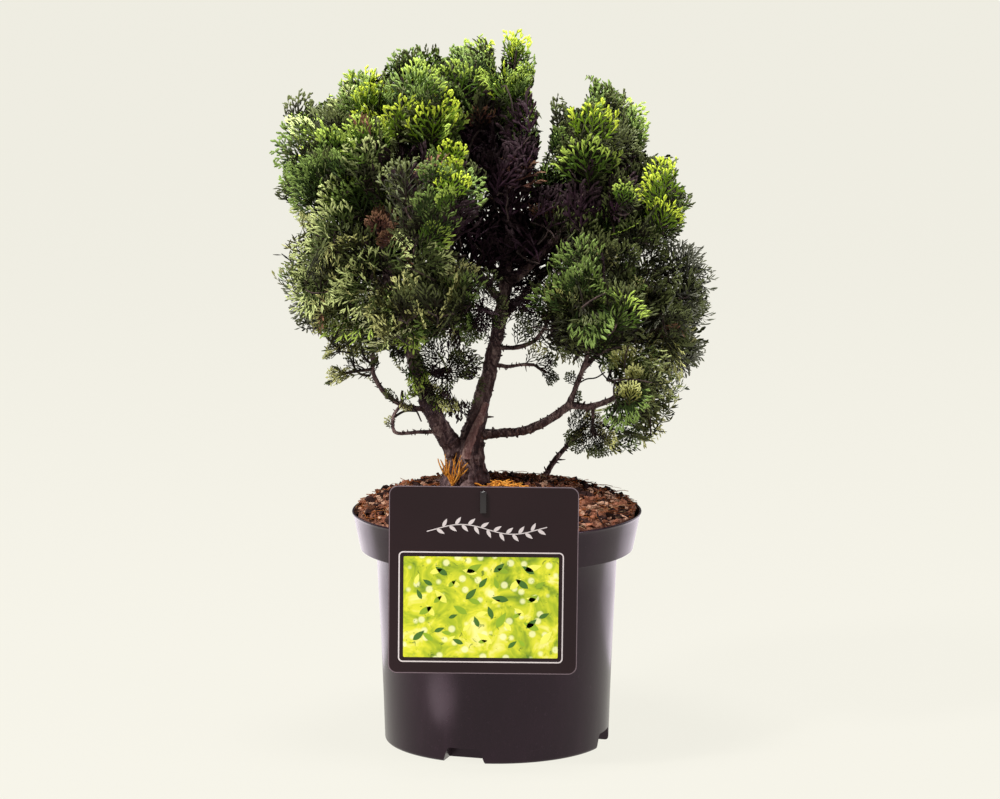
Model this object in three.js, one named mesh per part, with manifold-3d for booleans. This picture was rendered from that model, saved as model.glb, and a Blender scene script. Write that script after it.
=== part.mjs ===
// A dwarf hinoki cypress, about 30 cm tall above the soil, in a 3 litre black nursery pot with a blank tag.
// Millimetres, +Z up. The origin is the middle of the pot's flat underside, and -Y is the front.
// The trunk forks low: one leader runs up through the middle of the crown and the other up its left side.
// Each bough is one tapering limb. Each mass of foliage is a stem, twigs and toothed sprays, fused into one
// solid that keeps to its own convex space, so that no two masses and no mass and limb touch.

import * as THREE from "three";
import { mergeVertices } from "three/addons/utils/BufferGeometryUtils.js";
import Module from "manifold-3d";

const wasm = await Module();
wasm.setup();
const { Manifold, Mesh: SolidMesh } = wasm;

// ---------------------------------------------------------------- driving dimensions

const GAP = 0.3; // clearance between neighbouring solids

const POT = {
  height: 153.5,
  baseRadius: 74,
  bodyRadius: 79, // just under the rim band
  bandRadius: 89.5, // the rim band's lower edge
  rimRadius: 95,
  bandHeight: 25,
  lip: 2.5,
  wall: 1.6,
  floor: 3,
  facets: 40,
};

const NOTCH = {
  count: 4,
  firstDeg: -17, // turned from the front towards +X
  bottomWidth: 28,
  topWidth: 21.5,
  height: 9.7,
  depthTo: 58, // radius of the recess's back wall
  housing: 2.2, // thickness of the wall that closes the recess off from the soil
  drainWidth: 7,
  drainLow: 4,
  drainHigh: 7,
};

const SOIL = {
  edge: 151.5, // level at the pot's wall
  top: 168, // flat patch that the trunk stands on
  bump: 1.6,
  power: 3.4,
  rings: 5,
  facets: 28,
};

const LABEL = {
  width: 120,
  height: 121,
  thickness: 1,
  corner: 5.5,
  centreX: -8.5,
  centreZ: 125.5,
  rollDeg: 0.6,
  slotWidth: 5,
  slotHeight: 6,
  slotDrop: 10, // from the card's top edge to the slot's middle
};

const HOOK = {
  width: 4,
  thick: 1.2,
  cleat: 14, // height of the part that shows in front of the card
  reach: 9.5, // from the card back to the stake, over the rim
  stake: 34,
};

const TRUNK = {
  foot: [-22, 0],
  tip: 1,
  stem: 5.6, // radius that the leader adds to its tip at the foot
  swell: 9, // the stump's swelling over the leader
  swellShare: 0.1, // share of the length over which the swelling dies away
  ridges: 5,
  ridgeDepth: 0.16,
};

// ---------------------------------------------------------------- materials

const paint = (color, roughness) =>
  new THREE.MeshStandardMaterial({ color, roughness, metalness: 0 });
const MATERIALS = {
  foliage: paint(0x4d5f33, 0.75),
  bark: paint(0x5e4842, 0.9),
  soil: paint(0x6c4a3a, 0.95),
  pot: paint(0x2c2228, 0.35),
  card: paint(0x35262a, 0.4),
};

// ---------------------------------------------------------------- small tools

const vec = (p) => new THREE.Vector3(p[0], p[1], p[2]);
const rad = THREE.MathUtils.degToRad;
const lerp = THREE.MathUtils.lerp;

// The seeded generator that every random choice here draws from.
function randomFrom(seed) {
  let state = seed >>> 0;
  return () => {
    state = (state + 0x6d2b79f5) >>> 0;
    let t = state;
    t = Math.imul(t ^ (t >>> 15), t | 1);
    t ^= t + Math.imul(t ^ (t >>> 7), t | 61);
    return ((t ^ (t >>> 14)) >>> 0) / 4294967296;
  };
}

// A closed three.js geometry as a solid, with its faces pointing out.
function solidOf(geometry) {
  const bare = geometry.index ? geometry.toNonIndexed() : geometry.clone();
  for (const name of ["normal", "uv"]) bare.deleteAttribute(name);
  const merged = mergeVertices(bare, 1e-3);
  const corners = merged.index.array;
  const kept = [];
  for (let i = 0; i < corners.length; i += 3) {
    const [a, b, c] = corners.slice(i, i + 3);
    if (a !== b && b !== c && c !== a) kept.push(a, b, c);
  }
  const build = (triangles) =>
    new Manifold(
      new SolidMesh({
        numProp: 3,
        vertProperties: new Float32Array(merged.attributes.position.array),
        triVerts: new Uint32Array(triangles),
      }),
    );
  const solid = build(kept);
  if (solid.volume() >= 0) return solid;
  return build(kept.reverse());
}

const union = (solids) => Manifold.union(solids);

// The largest body of a solid, with any loose scrap dropped and any sealed hollow filled.
function wholeBody(solid) {
  const bodies = solid.decompose();
  return bodies.reduce((best, b) => (b.volume() > best.volume() ? b : best));
}

const group = new THREE.Group();

function addNode(name, solid, material) {
  const { numProp, numVert, vertProperties, triVerts } = wholeBody(solid).getMesh();
  const positions = new Float32Array(numVert * 3);
  for (let i = 0; i < numVert; i++) {
    positions.set(vertProperties.subarray(i * numProp, i * numProp + 3), i * 3);
  }
  const geometry = new THREE.BufferGeometry();
  geometry.setAttribute("position", new THREE.BufferAttribute(positions, 3));
  geometry.setIndex(new THREE.BufferAttribute(triVerts, 1));
  geometry.computeVertexNormals();
  const mesh = new THREE.Mesh(geometry, material);
  mesh.name = name;
  group.add(mesh);
}

// A box with its corner ranges given, as a solid.
function boxSolid([x0, x1], [y0, y1], [z0, z1]) {
  const box = new THREE.BoxGeometry(x1 - x0, y1 - y0, z1 - z0);
  box.translate((x0 + x1) / 2, (y0 + y1) / 2, (z0 + z1) / 2);
  return solidOf(box);
}

// A profile of [radius, height] pairs turned about the Z axis.
function turned(profile, facets) {
  const points = profile.map(([r, z]) => new THREE.Vector2(r, z));
  return solidOf(new THREE.LatheGeometry(points, facets).rotateX(Math.PI / 2));
}

// ---------------------------------------------------------------- the pot

// The inside face is the outside face moved in by the wall.
function potWall() {
  const bandFoot = POT.height - POT.bandHeight;
  const t = POT.wall;
  return turned(
    [
      [0, 0],
      [POT.baseRadius - 2, 0],
      [POT.baseRadius, 2],
      [POT.bodyRadius, bandFoot - 1],
      [POT.bandRadius, bandFoot],
      [POT.rimRadius - 0.8, POT.height - POT.lip],
      [POT.rimRadius, POT.height - POT.lip + 0.8],
      [POT.rimRadius, POT.height],
      [POT.rimRadius - t - 0.8, POT.height],
      [POT.rimRadius - t - 0.8, POT.height - POT.lip],
      [POT.bandRadius - t, bandFoot + t],
      [POT.bodyRadius - t, bandFoot - 1 + t],
      [POT.baseRadius - t, POT.floor],
      [0, POT.floor],
    ],
    POT.facets,
  );
}

// Turns a solid made about the +X direction to the place of notch number i.
const atNotch = (solid, i) =>
  solid.rotate([0, 0, NOTCH.firstDeg - 90 + (i * 360) / NOTCH.count]);

// The block that closes one recess off from the soil, grown by a clearance.
function notchHousing(grow) {
  const half = NOTCH.bottomWidth / 2 + NOTCH.housing + grow;
  return boxSolid(
    [NOTCH.depthTo - NOTCH.housing - grow, 70 + grow],
    [-half, half],
    [1, NOTCH.height + NOTCH.housing + grow],
  );
}

function notchCut() {
  const outline = new THREE.Shape([
    new THREE.Vector2(-NOTCH.bottomWidth / 2 - 0.4, -1),
    new THREE.Vector2(NOTCH.bottomWidth / 2 + 0.4, -1),
    new THREE.Vector2(NOTCH.topWidth / 2, NOTCH.height),
    new THREE.Vector2(-NOTCH.topWidth / 2, NOTCH.height),
  ]);
  const depth = POT.bodyRadius + 5 - NOTCH.depthTo;
  const recess = new THREE.ExtrudeGeometry(outline, { depth, bevelEnabled: false });
  recess.rotateX(Math.PI / 2).rotateZ(Math.PI / 2).translate(NOTCH.depthTo, 0, 0);
  const half = NOTCH.drainWidth / 2;
  const drain = boxSolid(
    [NOTCH.depthTo - NOTCH.housing - 2, NOTCH.depthTo + 2],
    [-half, half],
    [NOTCH.drainLow, NOTCH.drainHigh],
  );
  return solidOf(recess).add(drain);
}

function pot() {
  const notches = [...Array(NOTCH.count).keys()];
  const closed = union([potWall(), ...notches.map((i) => atNotch(notchHousing(0), i))]);
  return closed.subtract(union(notches.map((i) => atNotch(notchCut(), i))));
}

// ---------------------------------------------------------------- limbs

// A cylinder of unit radius, bent along a curve and given a radius along its length and round it.
function bentTube(curve, radiusAt, sides, steps) {
  const tube = new THREE.CylinderGeometry(1, 1, 1, sides, steps);
  const frames = curve.computeFrenetFrames(steps, false);
  const place = tube.attributes.position;
  for (let i = 0; i < place.count; i++) {
    const [x, y, z] = [place.getX(i), place.getY(i), place.getZ(i)];
    const t = y + 0.5;
    const step = Math.round(t * steps);
    const r = radiusAt(t, Math.atan2(z, x));
    const p = curve.getPointAt(t);
    p.addScaledVector(frames.normals[step], x * r);
    p.addScaledVector(frames.binormals[step], z * r);
    place.setXYZ(i, p.x, p.y, p.z);
  }
  return solidOf(tube);
}

const curveThrough = (route) =>
  new THREE.CatmullRomCurve3(route.map(vec), false, "centripetal");

// A limb's solid, and its samples, which the foliage keeps clear of.
class Limb {
  constructor(name, route, radiusAt, sides, steps) {
    this.name = name;
    this.curve = curveThrough(route);
    this.radiusAt = radiusAt;
    this.sides = sides;
    this.steps = steps;
    this.samples = [...Array(31).keys()].map((i) => ({
      at: this.curve.getPointAt(i / 30),
      r: radiusAt(i / 30, 0),
    }));
  }
  grown(by) {
    return bentTube(this.curve, (t, a) => this.radiusAt(t, a) + by, this.sides, this.steps);
  }
  distanceTo(p) {
    return Math.min(...this.samples.map((s) => s.at.distanceTo(p) - s.r));
  }
}

const TRUNK_FOOT_Z = SOIL.top + GAP;

function trunkRadius(t, angle) {
  const swelling = Math.exp(-((t / TRUNK.swellShare) ** 2));
  const ridge = 1 + TRUNK.ridgeDepth * swelling * Math.cos(TRUNK.ridges * angle);
  return (TRUNK.tip + TRUNK.stem * (1 - t) ** 1.2 + TRUNK.swell * swelling) * ridge;
}

const trunk = new Limb(
  "trunk",
  [
    [-22, 0, TRUNK_FOOT_Z - 2],
    [-20, 0, 185],
    [-13, 1, 214],
    [-1, 5, 262],
    [7, 12, 317],
    [6, 20, 380],
    [9, 14, 448],
  ],
  trunkRadius,
  10,
  15,
);

// name, limb that carries it, root and tip radius, route
const BOUGHS = [
  [
    ...["left_leader", "trunk", 6.4, 1.6],
    [[-25, -1, 188], [-44, -8, 224], [-58, -16, 271], [-72, -16, 322], [-66, -12, 368], [-57, -12, 405]],
  ],
  [
    ...["right_bough", "trunk", 2.9, 2.2],
    [[-14, 0, 203], [2, -5, 205], [20, -11, 208], [36, -17, 217], [47, -20, 226]],
  ],
  [
    ...["right_bough_up", "right_bough", 1.8, 1.2],
    [[46, -20, 224], [51, -20, 237], [58, -22, 256], [64, -28, 278]],
  ],
  [
    ...["right_bough_out", "right_bough", 2.1, 1.5],
    [[46, -20, 226], [60, -21, 225], [72, -22, 229], [84, -24, 236]],
  ],
  [
    ...["left_low_bough", "left_leader", 1.8, 1.2],
    [[-44, -8, 221], [-60, -13, 224], [-73, -18, 234], [-80, -20, 247], [-80, -21, 260]],
  ],
  [
    ...["left_curl_twig", "left_leader", 1.3, 0.9],
    [[-34, -4, 206], [-50, -13, 207], [-66, -24, 209], [-67, -26, 219], [-61, -24, 228]],
  ],
  ["centre_twig", "trunk", 1.3, 0.9, [[-3, 3, 249], [8, -6, 249], [17, -10, 251], [25, -12, 251]]],
  ["upper_twig", "trunk", 1.5, 1.1, [[0, 4, 260], [12, -2, 261], [24, -8, 266], [32, -15, 277]]],
  [
    ...["upper_right_bough", "trunk", 3, 1.6],
    [[6, 10, 300], [26, 6, 318], [46, 2, 342], [60, 0, 372], [64, 0, 390]],
  ],
  ["far_right_bough", "right_bough_up", 1.3, 1, [[56, -21, 250], [74, -12, 266], [98, -2, 284]]],
  ["back_right_bough", "trunk", 2.6, 1.5, [[2, 8, 278], [22, 26, 296], [44, 44, 316]]],
  ["back_left_bough", "trunk", 2.4, 1.5, [[3, 10, 290], [-18, 30, 310], [-42, 44, 330]]],
  ["basal_shoot", "soil", 1.9, 1.4, [[31, 42, SOIL.top - 2], [40, 39, 181], [54, 34, 198]]],
];

// A limb whose radius tapers from root to tip. A heavy one has more facets.
function addLimb(name, rootRadius, tipRadius, route) {
  const heavy = rootRadius > 5;
  const radiusAt = (t) => lerp(rootRadius, tipRadius, t ** 0.8);
  limbs[name] = new Limb(name, route, radiusAt, heavy ? 8 : 5, heavy ? 10 : 4);
}

const limbs = { trunk };
for (const [name, , root, tip, route] of BOUGHS) addLimb(name, root, tip, route);

// ---------------------------------------------------------------- foliage

// name, centre, half sizes, number of sprays, dense (with a core), and for a mass that no limb above
// reaches, the limb its own bough leaves and where along it
const MASSES = [
  ["left_upper_foliage", [-95, -4, 390], [51, 42, 50], 16, true, "left_leader", 0.72],
  ["left_middle_foliage", [-101, -12, 324], [39, 42, 54], 16, true],
  ["left_lower_foliage", [-80, -18, 281], [44, 36, 31], 12, true],
  ["left_skirt_foliage", [-92, -24, 249], [15, 12, 15], 4, false],
  ["left_curl_foliage", [-61, -24, 236], [12, 10, 13], 4, false],
  ["left_top_foliage", [-52, -14, 422], [34, 32, 40], 12, true],
  ["left_front_foliage", [-42, -56, 366], [30, 34, 38], 12, true, "left_leader", 0.68],
  ["front_low_foliage", [-42, -44, 308], [30, 32, 34], 11, true, "left_leader", 0.45],
  ["inner_low_foliage", [-32, -16, 248], [23, 18, 34], 8, false],
  ["top_middle_foliage", [-16, 22, 424], [34, 38, 42], 13, true],
  ["top_spire_foliage", [11, 9, 436], [14, 16, 36], 8, true],
  ["centre_upper_foliage", [9, 0, 382], [23, 28, 38], 8, true],
  ["centre_front_foliage", [-10, -24, 290], [19, 18, 24], 6, false, "trunk", 0.4],
  ["centre_back_foliage", [10, 28, 334], [44, 40, 46], 10, true],
  ["back_top_foliage", [-10, 76, 394], [44, 36, 46], 13, true, "trunk", 0.7],
  ["back_left_foliage", [-62, 56, 350], [52, 42, 52], 13, true],
  ["back_left_low_foliage", [-50, 42, 290], [38, 36, 30], 9, true, "back_left_bough", 0.5],
  ["right_top_foliage", [64, 0, 401], [33, 38, 38], 13, true],
  ["right_shoulder_foliage", [94, -6, 361], [28, 34, 39], 11, true, "upper_right_bough", 0.6],
  ["right_inner_foliage", [52, 8, 357], [32, 36, 40], 8, true],
  ["right_middle_foliage", [64, -31, 294], [36, 34, 42], 13, true],
  ["far_right_foliage", [111, 0, 290], [33, 40, 48], 14, true],
  ["right_low_foliage", [93, -20, 235], [31, 34, 41], 12, true],
  ["right_skirt_foliage", [63, -14, 207], [24, 16, 16], 6, false, "right_bough_out", 0.4],
  ["centre_spray_foliage", [31, -14, 247], [12, 8, 9], 3, false],
  ["upper_twig_foliage", [31, -16, 283], [20, 16, 22], 7, false],
  ["back_right_foliage", [64, 58, 344], [50, 40, 50], 13, true],
  ["back_right_low_foliage", [72, 40, 276], [42, 36, 34], 10, true, "back_right_bough", 0.5],
  ["basal_foliage", [59, 32, 206], [16, 11, 15], 4, false],
];

const CROWN_HEART = new THREE.Vector3(0, 10, 330);
const DEEPER = 1.22; // how much deeper than its table size each mass is, front to back
const LEAF = { thickness: 2.4, thickest: 0.5, spread: 0.6, cleft: 0.68, longest: 44, rootShare: 0.3 };
const CORE = { open: [0.52, 0.72], walled: [0.84, 0.97] };

// How far a space reaches from its middle in a direction, by its ellipsoid alone.
const ellipsoidReach = (space, u) =>
  1 / Math.hypot(u.x / space.half.x, u.y / space.half.y, u.z / space.half.z);

// A mass's space: its ellipsoid, cut by a plane towards each neighbour.
const spaces = MASSES.map(([name, centre, half]) => ({
  name,
  centre: vec(centre),
  half: vec(half).multiply(new THREE.Vector3(1, DEEPER, 1)),
}));
for (const space of spaces) {
  space.planes = spaces
    .filter((other) => other !== space)
    .map((other) => {
      const normal = other.centre.clone().sub(space.centre);
      const apart = normal.length();
      normal.normalize();
      const mine = ellipsoidReach(space, normal);
      const theirs = ellipsoidReach(other, normal);
      return { normal, reach: (apart * mine) / (mine + theirs) - GAP };
    });
}

const insideSpace = (space, p) => {
  const d = p.clone().sub(space.centre);
  const round = Math.hypot(d.x / space.half.x, d.y / space.half.y, d.z / space.half.z);
  return round <= 1 && space.planes.every(({ normal, reach }) => d.dot(normal) <= reach);
};

// How far a space reaches from its middle in a direction, planes included.
function reachOf(space, u) {
  const cuts = space.planes
    .map(({ normal, reach }) => reach / Math.max(u.dot(normal), 1e-6))
    .concat(ellipsoidReach(space, u));
  return Math.min(...cuts);
}

// The masses' own boughs: each rises off its carrier, bows upwards a little and ends just inside its mass.
const ENTRY = 6;
MASSES.forEach(([name, , , , , carrier, along], i) => {
  if (!carrier) return;
  const space = spaces[i];
  const from = limbs[carrier].curve.getPointAt(along);
  const back = from.clone().sub(space.centre).normalize();
  const to = space.centre.clone().addScaledVector(back, reachOf(space, back) - ENTRY);
  const middle = from.clone().lerp(to, 0.5).add(new THREE.Vector3(0, 0, -0.08 * from.distanceTo(to)));
  const root = Math.min(0.6 * limbs[carrier].radiusAt(along, 0), 2);
  const bough = name.replace("_foliage", "_branch");
  addLimb(bough, root, 1, [from, middle, to].map((p) => p.toArray()));
  BOUGHS.push([bough, carrier]);
});

// Evenly spread directions, jittered, the first two being straight out of the crown and straight up.
function directionsFor(space, count, random) {
  const golden = Math.PI * (3 - Math.sqrt(5));
  const outward = space.centre.clone().sub(CROWN_HEART).normalize();
  const list = [outward, new THREE.Vector3(0, 0, 1)];
  for (let i = 0; i < count - 2; i++) {
    const z = 1 - (2 * (i + 0.5)) / (count - 2);
    const ring = Math.sqrt(1 - z * z);
    const angle = i * golden + random() * 0.6;
    const u = new THREE.Vector3(ring * Math.cos(angle), ring * Math.sin(angle), z);
    list.push(u.addScaledVector(outward, 0.5).normalize());
  }
  return list;
}

// The outline of one fan spray: a pointed root and an arc of blunt teeth.
function fanOutline(length, teeth) {
  const points = [new THREE.Vector2(0, 0)];
  const last = 2 * teeth - 2;
  for (let k = 0; k <= last; k++) {
    const angle = lerp(LEAF.spread, -LEAF.spread, k / last);
    const r = length * (k % 2 ? LEAF.cleft : 1 - 0.18 * Math.abs(angle));
    points.push(new THREE.Vector2(r * Math.sin(angle), r * Math.cos(angle)));
  }
  return points;
}

// Axes for a spray that grows along u: its own width and its face, rolled about u.
function sprayAxes(u, roll) {
  const side = new THREE.Vector3(0, 0, 1).cross(u);
  if (side.lengthSq() < 1e-3) side.set(1, 0, 0);
  side.normalize().applyAxisAngle(u, roll);
  return { side, face: side.clone().cross(u) };
}

// A fan spray as a solid, thickest in its middle and thin at its teeth, or null where it would leave its
// space or touch a limb.
function fanSpray(space, root, u, length, teeth, roll) {
  const { side, face } = sprayAxes(u, roll);
  const place = (x, y, z) =>
    root.clone().addScaledVector(side, x).addScaledVector(u, y).addScaledVector(face, z);
  const rim = fanOutline(length, teeth).map((q) => place(q.x, q.y, 0));
  const half = LEAF.thickness / 2;
  const [front, back] = [half, -half].map((z) => place(0, length * LEAF.thickest, z));
  const isFree = (p) => Object.values(limbs).every((limb) => limb.distanceTo(p) > 2 * GAP);
  if (![...rim, front, back].every((p) => insideSpace(space, p) && isFree(p))) return null;
  const points = rim.flatMap((p, i) => {
    const next = rim[(i + 1) % rim.length];
    return [front, p, next, back, next, p];
  });
  return solidOf(new THREE.BufferGeometry().setFromPoints(points));
}

// A straight three-sided twig that tapers.
function twig(from, to, rootRadius, tipRadius) {
  const line = new THREE.LineCurve3(from, to);
  return bentTube(line, (t) => lerp(rootRadius, tipRadius, t), 3, 1);
}

// The rough inner body of a dense mass. It stops well short of open air, and close to its walls with its
// neighbours.
function massCore(space, random) {
  const bare = new THREE.OctahedronGeometry(1, 1).deleteAttribute("uv").deleteAttribute("normal");
  const ball = mergeVertices(bare);
  const place = ball.attributes.position;
  for (let i = 0; i < place.count; i++) {
    const u = new THREE.Vector3().fromBufferAttribute(place, i).normalize();
    const reach = reachOf(space, u);
    const walled = reach < 0.96 * ellipsoidReach(space, u);
    u.multiplyScalar(reach * lerp(...(walled ? CORE.walled : CORE.open), random()));
    place.setXYZ(i, ...u.add(space.centre).toArray());
  }
  return solidOf(ball);
}

// Where a mass's stem leaves its limb: the point of any limb inside the space that is nearest the middle.
function stemStart(space) {
  const points = Object.values(limbs).flatMap((limb) => limb.samples.map((s) => s.at));
  const within = points.filter((p) => insideSpace(space, p));
  if (!within.length) throw new Error(`${space.name} is not reached by a limb`);
  return within.reduce((best, p) =>
    p.distanceTo(space.centre) < best.distanceTo(space.centre) ? p : best,
  );
}

// One mass: a stem from its limb, twigs that leave the stem in turn, and a fan spray or two on each twig.
function foliageMass(space, count, dense, seed) {
  const random = randomFrom(seed);
  const heart = space.centre;
  const parts = [twig(stemStart(space), heart, 1.6, 1.1)];
  if (dense) parts.push(massCore(space, random));
  for (const u of directionsFor(space, count, random)) {
    const reach = reachOf(space, u) * 0.985;
    const roll = random() * Math.PI;
    let spray = null;
    for (const share of [1, 0.9, 0.78, 0.64]) {
      const length = Math.min(reach * share * (1 - LEAF.rootShare), LEAF.longest);
      const foot = heart.clone().addScaledVector(u, reach * share - length);
      spray = fanSpray(space, foot, u, length, 3, roll);
      if (spray) {
        parts.push(spray);
        if (!dense) parts.push(twig(heart, foot.addScaledVector(u, 2.5), 1.1, 0.8));
        break;
      }
    }
  }
  return union(parts);
}

// ---------------------------------------------------------------- the soil

// The soil's surface: a dome with a bumpy skin, flat where the trunk and the basal shoot stand.
function soilLevel(x, y, bump) {
  const r = Math.min(Math.hypot(x, y) / (POT.rimRadius - POT.wall), 1);
  const dome = lerp(SOIL.top, SOIL.edge, r ** SOIL.power);
  const toTrunk = Math.hypot(x - TRUNK.foot[0], y - TRUNK.foot[1]);
  const toShoot = Math.hypot(x - 30, y - 42);
  if (toTrunk < 34 || toShoot < 15) return SOIL.top;
  return dome + bump;
}

function soilBody() {
  const bandFoot = POT.height - POT.bandHeight;
  const inset = POT.wall + GAP;
  const profile = [
    [0, POT.floor + GAP],
    [POT.baseRadius - inset - 1, POT.floor + GAP],
    [POT.bodyRadius - inset, bandFoot + POT.wall],
    [POT.bandRadius - inset, bandFoot + POT.wall + 1],
    [POT.rimRadius - inset - 2.2, SOIL.edge - 0.8],
  ];
  const rim = profile.at(-1)[0];
  for (let i = SOIL.rings; i >= 0; i--) profile.push([(rim * i) / (SOIL.rings + 0.5), SOIL.top]);
  const lathe = new THREE.LatheGeometry(
    profile.map(([r, z]) => new THREE.Vector2(r, z)),
    SOIL.facets,
  ).rotateX(Math.PI / 2);
  const random = randomFrom(7);
  const bumps = new Map();
  const place = lathe.attributes.position;
  for (let i = 0; i < place.count; i++) {
    const [x, y, z] = [place.getX(i), place.getY(i), place.getZ(i)];
    if (z < SOIL.top - 1e-3) continue;
    const key = `${Math.round(x * 20)},${Math.round(y * 20)}`;
    if (!bumps.has(key)) bumps.set(key, (random() - 0.5) * 2 * SOIL.bump);
    place.setZ(i, soilLevel(x, y, bumps.get(key)));
  }
  return solidOf(lathe);
}

// ---------------------------------------------------------------- the label and its hook

const cardBack = -(POT.rimRadius + GAP);
const cardFront = cardBack - LABEL.thickness;
const slotZ = LABEL.centreZ + LABEL.height / 2 - LABEL.slotDrop;

function labelCard() {
  const [w, h, r] = [LABEL.width / 2, LABEL.height / 2, LABEL.corner];
  const outline = new THREE.Shape();
  outline.moveTo(-w + r, -h);
  outline.lineTo(w - r, -h).absarc(w - r, -h + r, r, -Math.PI / 2, 0);
  outline.lineTo(w, h - r).absarc(w - r, h - r, r, 0, Math.PI / 2);
  outline.lineTo(-w + r, h).absarc(-w + r, h - r, r, Math.PI / 2, Math.PI);
  outline.lineTo(-w, -h + r).absarc(-w + r, -h + r, r, Math.PI, 1.5 * Math.PI);
  const card = new THREE.ExtrudeGeometry(outline, {
    depth: LABEL.thickness,
    bevelEnabled: false,
    curveSegments: 5,
  });
  card.rotateZ(rad(-LABEL.rollDeg)).rotateX(Math.PI / 2);
  card.translate(LABEL.centreX, cardBack, LABEL.centreZ);
  const half = LABEL.slotWidth / 2;
  const slot = boxSolid(
    [LABEL.centreX - half, LABEL.centreX + half],
    [cardFront - 2, cardBack + 2],
    [slotZ - LABEL.slotHeight / 2, slotZ + LABEL.slotHeight / 2],
  );
  return solidOf(card).subtract(slot);
}

// A strap that clips through the card's slot, passes over the rim and goes down into the soil as a stake.
function labelHook(grow) {
  const face = cardFront - GAP;
  const half = HOOK.width / 2 + grow;
  const t = HOOK.thick;
  const back = cardBack + HOOK.reach;
  const cleat = boxSolid(
    [-half, half],
    [face - t - grow, face + grow],
    [slotZ - HOOK.cleat / 2 - grow, slotZ + HOOK.cleat / 2 + grow],
  );
  const neck = boxSolid([-half, half], [face - t / 2, back], [slotZ - t - grow, slotZ + t + grow]);
  const stake = boxSolid(
    [-half, half],
    [back - t - grow, back + t + grow],
    [slotZ - HOOK.stake - grow, slotZ + t + grow],
  );
  return union([cleat, neck, stake]).translate([LABEL.centreX, 0, 0]);
}

// ---------------------------------------------------------------- assembly

addNode("pot", pot(), MATERIALS.pot);

const housings = [...Array(NOTCH.count).keys()].map((i) => atNotch(notchHousing(GAP), i));
const soil = soilBody().subtract(union([...housings, labelHook(GAP)]));
addNode("soil", soil, MATERIALS.soil);

addNode("label_card", labelCard(), MATERIALS.card);
addNode("label_hook", labelHook(0), MATERIALS.card);

const aboveSoil = (solid) => solid.trimByPlane([0, 0, 1], TRUNK_FOOT_Z);
addNode("trunk", aboveSoil(trunk.grown(0)), MATERIALS.bark);

// Each bough gives way to every limb before it in the list.
const grownLimbs = { trunk: trunk.grown(GAP) };
for (const [name] of BOUGHS) {
  const earlier = union(Object.values(grownLimbs));
  addNode(name, aboveSoil(limbs[name].grown(0).subtract(earlier)), MATERIALS.bark);
  grownLimbs[name] = limbs[name].grown(GAP);
}

const allLimbs = union(Object.values(grownLimbs));
MASSES.forEach(([name, , , count, dense], i) => {
  const mass = foliageMass(spaces[i], count, dense, 101 + i);
  addNode(name, mass.subtract(allLimbs), MATERIALS.foliage);
});

export default group;
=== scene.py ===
"""A dwarf hinoki cypress in a black nursery pot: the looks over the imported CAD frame.

Sizes are in millimetres and become metres when a mesh is made. The limbs' routes, the masses' spaces and the
rule by which a mass grows are those of the part's source, written again here and carried to finer twigs.
"""

import math

import bmesh
import bpy
import numpy as np
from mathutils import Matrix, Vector
from numpy.linalg import norm
from numpy.random import default_rng


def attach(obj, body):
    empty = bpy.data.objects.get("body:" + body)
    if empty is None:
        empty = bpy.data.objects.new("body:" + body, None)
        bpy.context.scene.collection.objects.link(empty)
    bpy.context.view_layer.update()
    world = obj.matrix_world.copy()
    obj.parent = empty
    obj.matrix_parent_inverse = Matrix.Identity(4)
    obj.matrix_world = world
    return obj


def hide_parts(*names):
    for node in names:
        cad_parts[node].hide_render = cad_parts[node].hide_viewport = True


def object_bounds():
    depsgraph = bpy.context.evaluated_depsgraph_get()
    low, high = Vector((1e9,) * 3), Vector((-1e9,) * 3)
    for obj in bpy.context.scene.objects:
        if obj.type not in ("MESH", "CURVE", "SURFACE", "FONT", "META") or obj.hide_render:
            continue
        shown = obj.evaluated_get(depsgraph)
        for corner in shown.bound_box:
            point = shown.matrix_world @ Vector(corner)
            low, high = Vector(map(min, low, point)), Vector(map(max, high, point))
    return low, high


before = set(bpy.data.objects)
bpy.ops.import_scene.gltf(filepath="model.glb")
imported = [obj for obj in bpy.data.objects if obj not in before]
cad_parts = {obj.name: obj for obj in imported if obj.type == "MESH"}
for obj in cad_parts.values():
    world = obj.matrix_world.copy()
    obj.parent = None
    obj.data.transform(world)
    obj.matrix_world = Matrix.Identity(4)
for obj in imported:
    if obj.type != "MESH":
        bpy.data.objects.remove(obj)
CAD_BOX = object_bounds()
MM = 0.001
GOLDEN = math.pi * (3 - math.sqrt(5))
ANY_WAY = 6.28  # a full turn, for random headings

# ---------------- named sizes (mm), as in the part's source


GAP = 0.3
POT_H, POT_BASE_R, POT_BODY_R, POT_BAND_R, POT_RIM_R, POT_BAND_H = 153.5, 74, 79, 89.5, 95, 25
POT_WALL, POT_FLOOR = 1.6, 3.0
NOTCH_DEG, NOTCH_BOTTOM, NOTCH_TOP, NOTCH_H, NOTCH_TO = -17, 28, 21.5, 9.7, 58
SOIL_EDGE, SOIL_TOP, SOIL_POWER = 151.5, 168, 3.4
CARD_W, CARD_H, CARD_T, CARD_X, CARD_Z, CARD_ROLL, CARD_CORNER = 120, 121, 1.0, -8.5, 125.5, 0.6, 5.5

TRUNK_ROUTE = [
    (-22, 0, 166.3), (-20, 0, 185), (-13, 1, 214), (-1, 5, 262), (7, 12, 317), (6, 20, 380), (9, 14, 448),
]
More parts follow.
